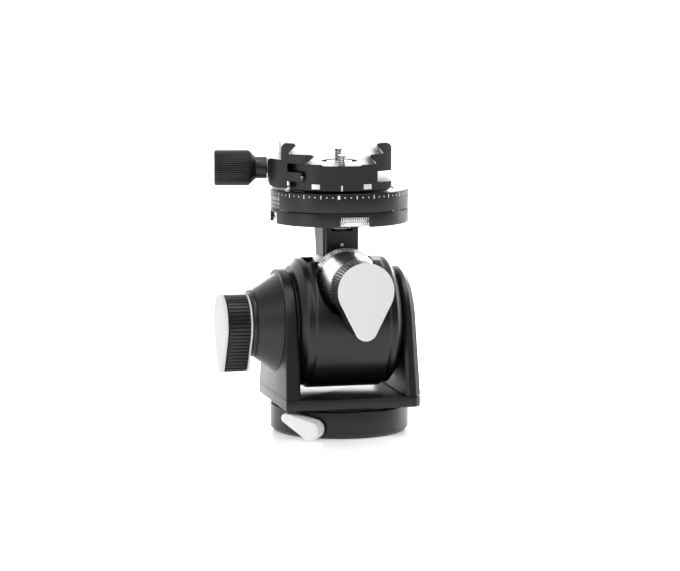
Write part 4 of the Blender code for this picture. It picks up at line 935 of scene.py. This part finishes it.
class HEAD_OT_turning_disc(bpy.types.Operator):
    """Panning disc: housing, windowed guard, knurled lock ring and the marked scale ring"""

    bl_idname = "head.make_turning_disc"
    bl_label = "Panning disc"

    def execute(self, context):
        sizes = context.scene.head_sizes
        low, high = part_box("pan_housing")
        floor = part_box("pan_lock_ring")[1].z + GAP
        profile = stepped((high.x, high.z, floor), (12.2 * MM, floor, low.z), inner=4.9 * MM)
        turned_piece("disc_housing", "pan_housing", profile, 0.2 * MM)

        low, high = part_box("guard_ring")
        radius = high.x
        inner = radius - 1.3 * MM
        profile = stepped((radius, high.z, low.z), inner=inner)
        guard = add_mesh("disc_guard", revolved(eased(profile, 0.3 * MM), FINE_SIDES), UPRIGHT)
        half = radius * math.sin(math.radians(12.5))
        window = [(-half, low.z - OVERRUN), (half, low.z - OVERRUN)]
        window += [(half, high.z - 0.9 * MM), (-half, high.z - 0.9 * MM)]
        for number in range(4):
            turn = Matrix.Rotation(TURN * number / 4.0, 4, "Z")
            carve(guard, slab(window, inner - OVERRUN, radius + OVERRUN), turn @ front_section)
        settle(guard, "black_turned", "guard_ring")

        self.make_lock_ring(sizes.ring_ribs)

        low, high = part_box("pan_scale_ring")
        profile = stepped((high.x, high.z, low.z), inner=22.3 * MM)
        turned_piece("disc_scale", "pan_scale_ring", profile, 0.32 * MM, FINE_SIDES)
        self.add_marks(high.x, high.z, sizes)

        low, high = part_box("pan_spindle")
        shelf, flange = 99.9 * MM, 96.1 * MM
        runs = [(14.0 * MM, high.z, shelf), (22.0 * MM, shelf, flange), (4.6 * MM, flange, low.z)]
        profile = stepped(*runs, inner=2.8 * MM)
        turned_piece("disc_spindle", "pan_spindle", profile, 0.2 * MM, slot="black_anodised")
        return {"FINISHED"}

    def make_lock_ring(self, ribs):
        """The knurled ring, with a groove round its middle."""
        low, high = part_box("pan_lock_ring")
        radius = high.x
        bottom = radius - 0.3 * MM
        middle = (low.z + high.z) / 2.0

        def knurl(r, station, angle):
            if r < radius - 0.1 * MM:
                return r
            twist = (station - low.z) / (high.z - low.z) * 0.5
            ridge = abs(math.sin(ribs * angle / 2.0 + twist))
            return r - 0.22 * MM * (1.0 - ridge)

        profile = [(12.5 * MM, high.z), (bottom, high.z), (radius, high.z - 0.3 * MM)]
        profile += [(radius, middle + 0.35 * MM), (bottom, middle + 0.15 * MM)]
        profile += [(bottom, middle - 0.15 * MM), (radius, middle - 0.35 * MM)]
        profile += [(radius, low.z + 0.3 * MM), (bottom, low.z), (12.5 * MM, low.z)]
        make_piece("disc_lock_ring", revolved(profile, ribs * 6, knurl), UPRIGHT, "silver", "pan_lock_ring")

    def add_marks(self, radius, top, sizes):
        """Lines and dots of the pan scale, and the short rows of the lock ring's marks."""
        work = bmesh.new()

        def mark(angles, start, end):
            band(work, angles, (top - end * MM, top - start * MM), (radius, radius))

        first = math.radians(-13.7) - TURN / 4.0
        for number in range(round(TURN / sizes.mark_step)):
            angle = first + sizes.mark_step * number
            half, start, end = (0.24, 1.15, 1.65) if number % 3 else (0.19, 0.6, 2.1)
            half = (half if number else 0.5) * MM / radius
            mark([angle + half * k for k in (-1.0, -0.3, 0.3, 1.0)], start, end)
        for half, start, end in ((0.22, 2.6, 4.0), (0.16, 4.6, 5.8)):
            half *= MM / radius
            for tick in range(7):
                angle = math.radians(-91.0 + 2.9 * tick) - TURN / 4.0
                mark((angle - half, angle + half), start, end)
        mark([math.radians(-92.0 + 1.0 * k) - TURN / 4.0 for k in range(20)], 6.6, 6.75)
        make_piece("disc_scale_marks", work, UPRIGHT, "white_paint", body="stem", slot="white_paint")


def clamp_outline():
    """Fixed jaw and floor seen from the front: two dovetail steps right, a slotted side left."""
    slot_right = BODY_RIGHT - SLOT_DEPTH
    slot_left = BODY_LEFT + SLOT_DEPTH
    shoulder = arc((BODY_RIGHT - JAW_ROUND, JAW_TOP - JAW_ROUND), JAW_ROUND, 0.0, TURN / 4.0, 12)
    groove = CLAMP_FLOOR - 0.5 * MM
    lower = [
        (BODY_LEFT, CLAMP_BOTTOM),
        (BODY_RIGHT - 2.0 * MM, CLAMP_BOTTOM),
        (BODY_RIGHT - 0.6 * MM, CLAMP_BOTTOM + 0.6 * MM),
        (BODY_RIGHT, CLAMP_BOTTOM + 2.0 * MM),
        (BODY_RIGHT, SLOT_LOW),
        (slot_right, SLOT_LOW),
        (slot_right, SLOT_HIGH),
        (BODY_RIGHT, SLOT_HIGH),
    ]
    upper = [
        (WIDE_LIP + LIP_EDGE, JAW_TOP),
        (WIDE_LIP, JAW_TOP - LIP_EDGE),
        (WIDE_CORNER, LEDGE + CORNER_RELIEF),
        (WIDE_CORNER, LEDGE),
        (NARROW_LIP + LIP_EDGE, LEDGE),
        (NARROW_LIP, LEDGE - LIP_EDGE),
        (NARROW_CORNER, CLAMP_FLOOR + CORNER_RELIEF),
        (NARROW_CORNER, CLAMP_FLOOR),
        (8.2 * MM, CLAMP_FLOOR),
        (7.7 * MM, groove),
        (-7.7 * MM, groove),
        (-8.2 * MM, CLAMP_FLOOR),
        (BODY_LEFT, CLAMP_FLOOR),
        (BODY_LEFT, SLOT_HIGH),
        (slot_left, SLOT_HIGH),
        (slot_left, SLOT_LOW),
        (BODY_LEFT, SLOT_LOW),
    ]
    return eased(lower, CLAMP_EASE, closed=False) + shoulder + eased(upper, CLAMP_EASE, closed=False)


def jaw_outline():
    """The moving jaw seen from the front, with its lip, its ledge and the tongue in the body's slot."""
    inner = BODY_LEFT - 1.2 * MM
    tip = inner + 5.4 * MM
    wide_corner = JAW_SHIFT + WIDE_CORNER
    wide_lip = JAW_SHIFT + WIDE_LIP
    back = wide_lip + LIP_EDGE + 2.7 * MM + JAW_ROUND
    shoulder = arc((JAW_ROUND - back, JAW_TOP - JAW_ROUND), JAW_ROUND, TURN / 4.0, TURN / 2.0, 12)
    boss, boss_top, boss_bottom = -29.5 * MM, 113.4 * MM, 101.8 * MM
    inside = [
        (inner, boss_bottom),
        (inner, SLOT_LOW + GAP),
        (tip, SLOT_LOW + GAP),
        (tip, SLOT_HIGH - GAP),
        (inner, SLOT_HIGH - GAP),
        (inner, CLAMP_FLOOR + GAP),
        (-NARROW_CORNER - 2.0 * GAP, CLAMP_FLOOR + GAP),
        (-NARROW_CORNER - GAP, CLAMP_FLOOR + CORNER_RELIEF),
        (-NARROW_LIP, LEDGE - LIP_EDGE),
        (-NARROW_LIP - LIP_EDGE, LEDGE),
        (-wide_corner, LEDGE),
        (-wide_corner, LEDGE + CORNER_RELIEF),
        (-wide_lip, JAW_TOP - LIP_EDGE),
        (-wide_lip - LIP_EDGE, JAW_TOP),
    ]
    outside = [
        (-back, boss_top),
        (boss + 0.8 * MM, boss_top),
        (boss, boss_top - 0.8 * MM),
        (boss, boss_bottom + 2.0 * MM),
        (boss + 0.6 * MM, boss_bottom + 0.6 * MM),
        (boss + 2.0 * MM, boss_bottom),
    ]
    return eased(inside, CLAMP_EASE, closed=False) + shoulder + eased(outside, CLAMP_EASE, closed=False)


def pin_places():
    """Each safety pin's node and the upright line through its centre."""
    spots = []
    for node in ("front_safety_pin", "rear_safety_pin"):
        low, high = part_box(node)
        spot = (low + high) / 2.0
        spots.append((node, Matrix.Translation((spot.x, spot.y, 0.0))))
    return spots


class HEAD_OT_clamp_body(bpy.types.Operator):
    """Round clamp body with the fixed jaw, its silver keys, index line and central bolt"""

    bl_idname = "head.make_clamp_body"
    bl_label = "Clamp body"

    def execute(self, context):
        length = CLAMP_RADIUS + OVERRUN
        body = add_mesh("clamp", slab(clamp_outline(), -length, length), clamp_section)
        under, top = CLAMP_BOTTOM - 0.5 * MM, JAW_TOP + 0.7 * MM
        keep = [(0.0, under), (CLAMP_RADIUS - 0.4 * MM, under), (CLAMP_RADIUS - 0.3 * MM, CLAMP_BOTTOM)]
        keep += [(CLAMP_RADIUS, CLAMP_BOTTOM + 0.3 * MM), (CLAMP_RADIUS, top), (0.0, top)]
        carve(body, disc(keep, FINE_SIDES), clamp_turn, "INTERSECT")
        seat = 108.2 * MM
        well = stepped((7.4 * MM, ABOVE_CLAMP, seat), (2.8 * MM, seat, CLAMP_BOTTOM - OVERRUN))
        carve(body, disc(well), clamp_turn)
        for node, place in pin_places():
            carve(body, rod(PIN_RADIUS + GAP, CLAMP_BOTTOM + 1.3 * MM, ABOVE_CLAMP), place)
        carve(body, rod(DRAW_BORE, 9.2 * MM, 23.0 * MM), jaw_place)
        for place in guide_places:
            carve(body, rod(GUIDE_BORE, 9.2 * MM, 23.0 * MM, GUIDE_SIDES), place)
        settle(body, "black", "clamp_body")

        around = (CLAMP_RADIUS, CLAMP_RADIUS)
        front = -TURN / 4.0
        keys = bmesh.new()
        for across in (-10.5 * MM, 10.5 * MM):
            middle = front + math.asin(across / CLAMP_RADIUS)
            half = 1.75 * MM / CLAMP_RADIUS
            angles = [middle + half * (k / 5.0 - 1.0) for k in range(11)]
            band(keys, angles, (101.9 * MM, 103.9 * MM), around, 0.06 * MM, 0.5 * MM)
        make_piece("clamp_keys", keys, clamp_turn, "silver", body="clamp", slot="silver")
        index = bmesh.new()
        half = 0.3 * MM / CLAMP_RADIUS
        band(index, (front - half, front + half), (101.3 * MM, 103.5 * MM), around)
        make_piece("clamp_index", index, clamp_turn, "white_paint", body="clamp", slot="white_paint")

        low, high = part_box("clamp_bolt")
        neck = high.z - 2.8 * MM
        profile = eased(stepped((5.35 * MM, high.z, neck), (2.5 * MM, neck, low.z)), 0.35 * MM, closed=False)
        bolt = add_mesh("clamp_centre_bolt", disc(profile), UPRIGHT)
        carve(bolt, hexagon(2.3 * MM, high.z - 1.8 * MM, high.z + OVERRUN), clamp_turn)
        settle(bolt, "steel", "clamp_bolt")
        return {"FINISHED"}


class HEAD_OT_moving_jaw(bpy.types.Operator):
    """Moving jaw of the clamp"""

    bl_idname = "head.make_moving_jaw"
    bl_label = "Moving jaw"

    def execute(self, context):
        length = CLAMP_RADIUS + OVERRUN
        jaw = add_mesh("jaw", slab(jaw_outline(), -length, length), clamp_section)
        aside = Matrix.Translation(clamp_out * JAW_SHIFT)
        keep = stepped((CLAMP_RADIUS, CLAMP_BOTTOM - 1.0 * MM, ABOVE_CLAMP))
        carve(jaw, disc(keep, FINE_SIDES), aside @ clamp_turn, "INTERSECT")
        carve(jaw, rod(DRAW_BORE, 14.0 * MM, 32.0 * MM), jaw_place)
        for place in guide_places:
            carve(jaw, rod(GUIDE_BORE, 14.0 * MM, 26.8 * MM, GUIDE_SIDES), place)
        settle(jaw, "black", "moving_jaw")
        return {"FINISHED"}


class HEAD_OT_clamp_knob(bpy.types.Operator):
    """Ribbed knob and the screw that draws the jaw"""

    bl_idname = "head.make_clamp_knob"
    bl_label = "Clamp knob"

    def execute(self, context):
        ribs = context.scene.head_sizes.clamp_ribs
        near = 29.8 * MM
        neck_end = near + 4.9 * MM
        grip = neck_end + 2.6 * MM
        far = grip + 14.1 * MM
        radius = 7.25 * MM
        neck = 4.5 * MM
        socket = near + 12.0 * MM

        def rib(r, station, angle):
            share = min(1.0, max(0.0, (r - 5.6 * MM) / (1.4 * MM)))
            if station < neck_end or station > far - TINY:
                return r
            phase = abs((ribs * angle / TURN) % 1.0 - 0.5)
            return r - 0.5 * MM * share * max(0.0, 1.0 - phase / 0.3)

        profile = [(0.0, socket), (DRAW_BORE, socket), (DRAW_BORE, near), (neck - 0.3 * MM, near)]
        profile += [(neck, near + 0.3 * MM), (neck, neck_end - 0.5 * MM)]
        profile += [(neck + 0.15 * MM, neck_end - 0.12 * MM), (neck + 0.5 * MM, neck_end + 0.2 * MM)]
        profile += [(5.7 * MM, neck_end + 1.0 * MM)]
        profile += [(6.5 * MM, neck_end + 1.8 * MM), (7.05 * MM, grip - 0.2 * MM), (radius, grip + 0.3 * MM)]
        profile += [(radius, far - 0.8 * MM), (radius - 0.1 * MM, far - 0.45 * MM)]
        profile += [(radius - 0.6 * MM, far - TINY * 2), (radius - 0.9 * MM, far), (radius - 1.8 * MM, far)]
        profile += [(radius - 2.1 * MM, far - 0.3 * MM), (0.0, far - 0.3 * MM)]
        make_piece("clamp_grip", disc(profile, ribs * 8, rib), jaw_place, "black", "clamp_knob")

        low = 10.7 * MM
        high = near + 11.6 * MM
        run = thread_run(DRAW_SCREW, low + 0.4 * MM, near, DRAW_PITCH)
        profile = [(0.0, low), (DRAW_SCREW - 0.4 * MM, low)] + run + [(DRAW_SCREW, high), (0.0, high)]
        cutter = thread(DRAW_SCREW, -0.35 * MM, DRAW_PITCH, low + 0.4 * MM, near)
        screw = disc(profile, THREAD_SIDES, cutter)
        make_piece("clamp_lead_screw", screw, jaw_place, "steel", "clamp_screw")
        return {"FINISHED"}


class HEAD_OT_safety_pins(bpy.types.Operator):
    """Two sprung, finely threaded safety pins"""

    bl_idname = "head.make_safety_pins"
    bl_label = "Safety pins"

    def execute(self, context):
        pitch = context.scene.head_sizes.pin_pitch
        for node, place in pin_places():
            low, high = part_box(node)
            start, end = low.z + 0.3 * MM, high.z - 0.35 * MM
            profile = [(0.0, low.z), (PIN_RADIUS - 0.3 * MM, low.z)]
            profile += thread_run(PIN_RADIUS, start, end, pitch)
            profile += [(PIN_RADIUS - 0.35 * MM, high.z), (0.0, high.z)]
            pin = disc(profile, THREAD_SIDES, thread(PIN_RADIUS, -0.2 * MM, pitch, start, end))
            make_piece(node + "_shank", pin, place, "steel", node)
        return {"FINISHED"}


class HEAD_OT_inner_parts(bpy.types.Operator):
    """Finishes for the screws, washers, nuts and springs that stay as they are"""

    bl_idname = "head.finish_inner_parts"
    bl_label = "Inner parts"

    def execute(self, context):
        for name, node in frame["nodes"].items():
            if not node.hide_render:
                for slot in node.material_slots:
                    slot.material = finishes[slot_of_node[name]]
        return {"FINISHED"}


class HEAD_OT_studio(bpy.types.Operator):
    """Pale floor, soft lights and the camera"""

    bl_idname = "head.make_studio"
    bl_label = "Studio"

    def execute(self, context):
        studio = context.scene.head_studio
        self.add_floor(studio)
        self.add_world(context, studio)
        side, top = studio.side_light, studio.top_light
        self.add_light("left_softbox", -70.0, 14.0, 1.1, (0.5, 1.0), side * 0.35)
        self.add_light("right_softbox", 112.0, 12.0, 1.1, (0.55, 1.0), side * 0.7)
        self.add_light("front_softbox", -24.0, 44.0, 1.2, (0.8, 0.8), side * 1.1)
        self.add_light("back_softbox", 166.0, 8.0, 1.3, (1.4, 0.22), top)
        self.add_light("top_softbox", 60.0, 74.0, 1.2, (0.7, 0.7), top * 1.2)
        middle = Vector((0.0, 0.0, 59.6 * MM))
        out = self.direction(studio.azimuth, studio.elevation)
        right = Vector((math.cos(studio.azimuth), math.sin(studio.azimuth), 0.0))
        data = bpy.data.cameras.new("camera")
        data.lens = studio.lens
        data.sensor_width = 36.0
        data.sensor_fit = "HORIZONTAL"
        data.clip_start = 0.01
        camera = bpy.data.objects.new("camera", data)
        camera.location = middle + right * 0.31 * MM + out * studio.distance
        camera.rotation_euler = (-out).to_track_quat("-Z", "Y").to_euler()
        context.scene.collection.objects.link(camera)
        context.scene.camera = camera
        context.scene.view_settings.view_transform = "Standard"
        return {"FINISHED"}

    def direction(self, azimuth, elevation):
        """Unit vector from the head towards a turn and a rise."""
        flat = math.cos(elevation)
        return Vector((math.sin(azimuth) * flat, -math.cos(azimuth) * flat, math.sin(elevation)))

    def add_light(self, name, azimuth, elevation, distance, size, power):
        """A large soft light that faces the head."""
        out = self.direction(math.radians(azimuth), math.radians(elevation))
        data = bpy.data.lights.new(name, "AREA")
        data.shape = "RECTANGLE"
        data.size, data.size_y = size
        data.energy = power
        light = bpy.data.objects.new(name, data)
        light.location = Vector((0.0, 0.0, 60.0 * MM)) + out * distance
        light.rotation_euler = (-out).to_track_quat("-Z", "Y").to_euler()
        light.visible_camera = False
        bpy.context.scene.collection.objects.link(light)

    def add_floor(self, studio):
        """A wide round floor just under the base."""
        work = disc([(0.0, 0.0), (6.0, 0.0), (6.0, -0.02), (0.0, -0.02)], ROUND_SIDES)
        floor = add_mesh("floor", work, Matrix.Translation((0.0, 0.0, -0.05 * MM)))
        material = bpy.data.materials.new("floor_board")
        material.use_nodes = True
        tree = material.node_tree
        shader = tree.nodes["Principled BSDF"]
        shader.inputs["Roughness"].default_value = 0.28
        shader.inputs["Emission Color"].default_value = (1.0, 1.0, 1.0, 1.0)
        shader.inputs["Emission Strength"].default_value = 0.35
        where = grow(tree, "TexCoord", {}).outputs["Object"]
        cloud = grow(tree, "TexNoise", {"Scale": 3.0, "Vector": where}).outputs["Fac"]
        shaded = (*[c * 0.995 for c in studio.floor], 1.0)
        tone = mix_colours(tree, shaded, (*studio.floor, 1.0), cloud)
        tree.links.new(tone, shader.inputs["Base Color"])
        floor.data.materials.append(material)

    def add_world(self, context, studio):
        """Soft light all round, dimmer from the front, behind a plain pale background."""
        world = bpy.data.worlds.new("studio_air")
        world.use_nodes = True
        tree = world.node_tree
        tree.nodes.clear()
        where = grow(tree, "TexCoord", {}).outputs["Generated"]
        depth = grow(tree, "SeparateXYZ", {"Vector": where}).outputs["Y"]
        share = grow(tree, "MapRange", {"Value": depth, "From Min": -1.0, "From Max": 1.0}).outputs["Result"]
        rise = grow(tree, "Math", {0: share, 1: 2.4}, operation="POWER").outputs["Value"]
        steps = {0: rise, 1: studio.back_light, 2: studio.front_light}
        strength = grow(tree, "Math", steps, operation="MULTIPLY_ADD").outputs["Value"]
        white = (1.0, 1.0, 1.0, 1.0)
        around = grow(tree, "Background", {"Color": white, "Strength": strength}).outputs["Background"]
        behind = grow(tree, "Background", {"Color": white, "Strength": 1.0}).outputs["Background"]
        seen = grow(tree, "LightPath", {}).outputs["Is Camera Ray"]
        choice = grow(tree, "MixShader", {"Fac": seen, 1: around, 2: behind}).outputs["Shader"]
        grow(tree, "OutputWorld", {"Surface": choice})
        context.scene.world = world


class HEAD_OT_finishes(bpy.types.Operator):
    """Materials of every piece, from the colours in the sidebar"""

    bl_idname = "head.make_finishes"
    bl_label = "Finishes"

    def execute(self, context):
        prepare_finishes(context.scene.head_looks)
        return {"FINISHED"}


class HEAD_PT_panel(bpy.types.Panel):
    """Sidebar panel with the head's settings and makers"""

    bl_idname = "HEAD_PT_panel"
    bl_label = "Pan and tilt head"
    bl_space_type = "VIEW_3D"
    bl_region_type = "UI"
    bl_category = "Head"

    def draw(self, context):
        layout = self.layout
        for group in (context.scene.head_sizes, context.scene.head_looks, context.scene.head_studio):
            column = layout.column(align=True)
            for name in group.__annotations__:
                column.prop(group, name)
        for maker in makers:
            layout.operator(maker.bl_idname)


makers = (
    HEAD_OT_finishes,
    HEAD_OT_base,
    HEAD_OT_base_lever,
    HEAD_OT_yoke,
    HEAD_OT_tilt_housing,
    HEAD_OT_tilt_knob,
    HEAD_OT_drum,
    HEAD_OT_side_knob,
    HEAD_OT_stem,
    HEAD_OT_turning_disc,
    HEAD_OT_clamp_body,
    HEAD_OT_moving_jaw,
    HEAD_OT_clamp_knob,
    HEAD_OT_safety_pins,
    HEAD_OT_inner_parts,
    HEAD_OT_studio,
)
classes = (HeadSizes, HeadLooks, HeadStudio) + makers + (HEAD_PT_panel,)


def register():
    for cls in classes:
        bpy.utils.register_class(cls)
    bpy.types.Scene.head_sizes = bpy.props.PointerProperty(type=HeadSizes)
    bpy.types.Scene.head_looks = bpy.props.PointerProperty(type=HeadLooks)
    bpy.types.Scene.head_studio = bpy.props.PointerProperty(type=HeadStudio)


def unregister():
    del bpy.types.Scene.head_studio
    del bpy.types.Scene.head_looks
    del bpy.types.Scene.head_sizes
    for cls in reversed(classes):
        bpy.utils.unregister_class(cls)


def main():
    register()
    bpy.ops.head.make_finishes()
    bpy.ops.head.make_base()
    bpy.ops.head.make_base_lever()
    bpy.ops.head.make_yoke()
    bpy.ops.head.make_tilt_housing()
    bpy.ops.head.make_tilt_knob()
    bpy.ops.head.make_drum()
    bpy.ops.head.make_side_knob()
    bpy.ops.head.make_stem()
    bpy.ops.head.make_turning_disc()
    bpy.ops.head.make_clamp_body()
    bpy.ops.head.make_moving_jaw()
    bpy.ops.head.make_clamp_knob()
    bpy.ops.head.make_safety_pins()
    bpy.ops.head.finish_inner_parts()
    bpy.ops.head.make_studio()


if __name__ == "__main__":
    main()
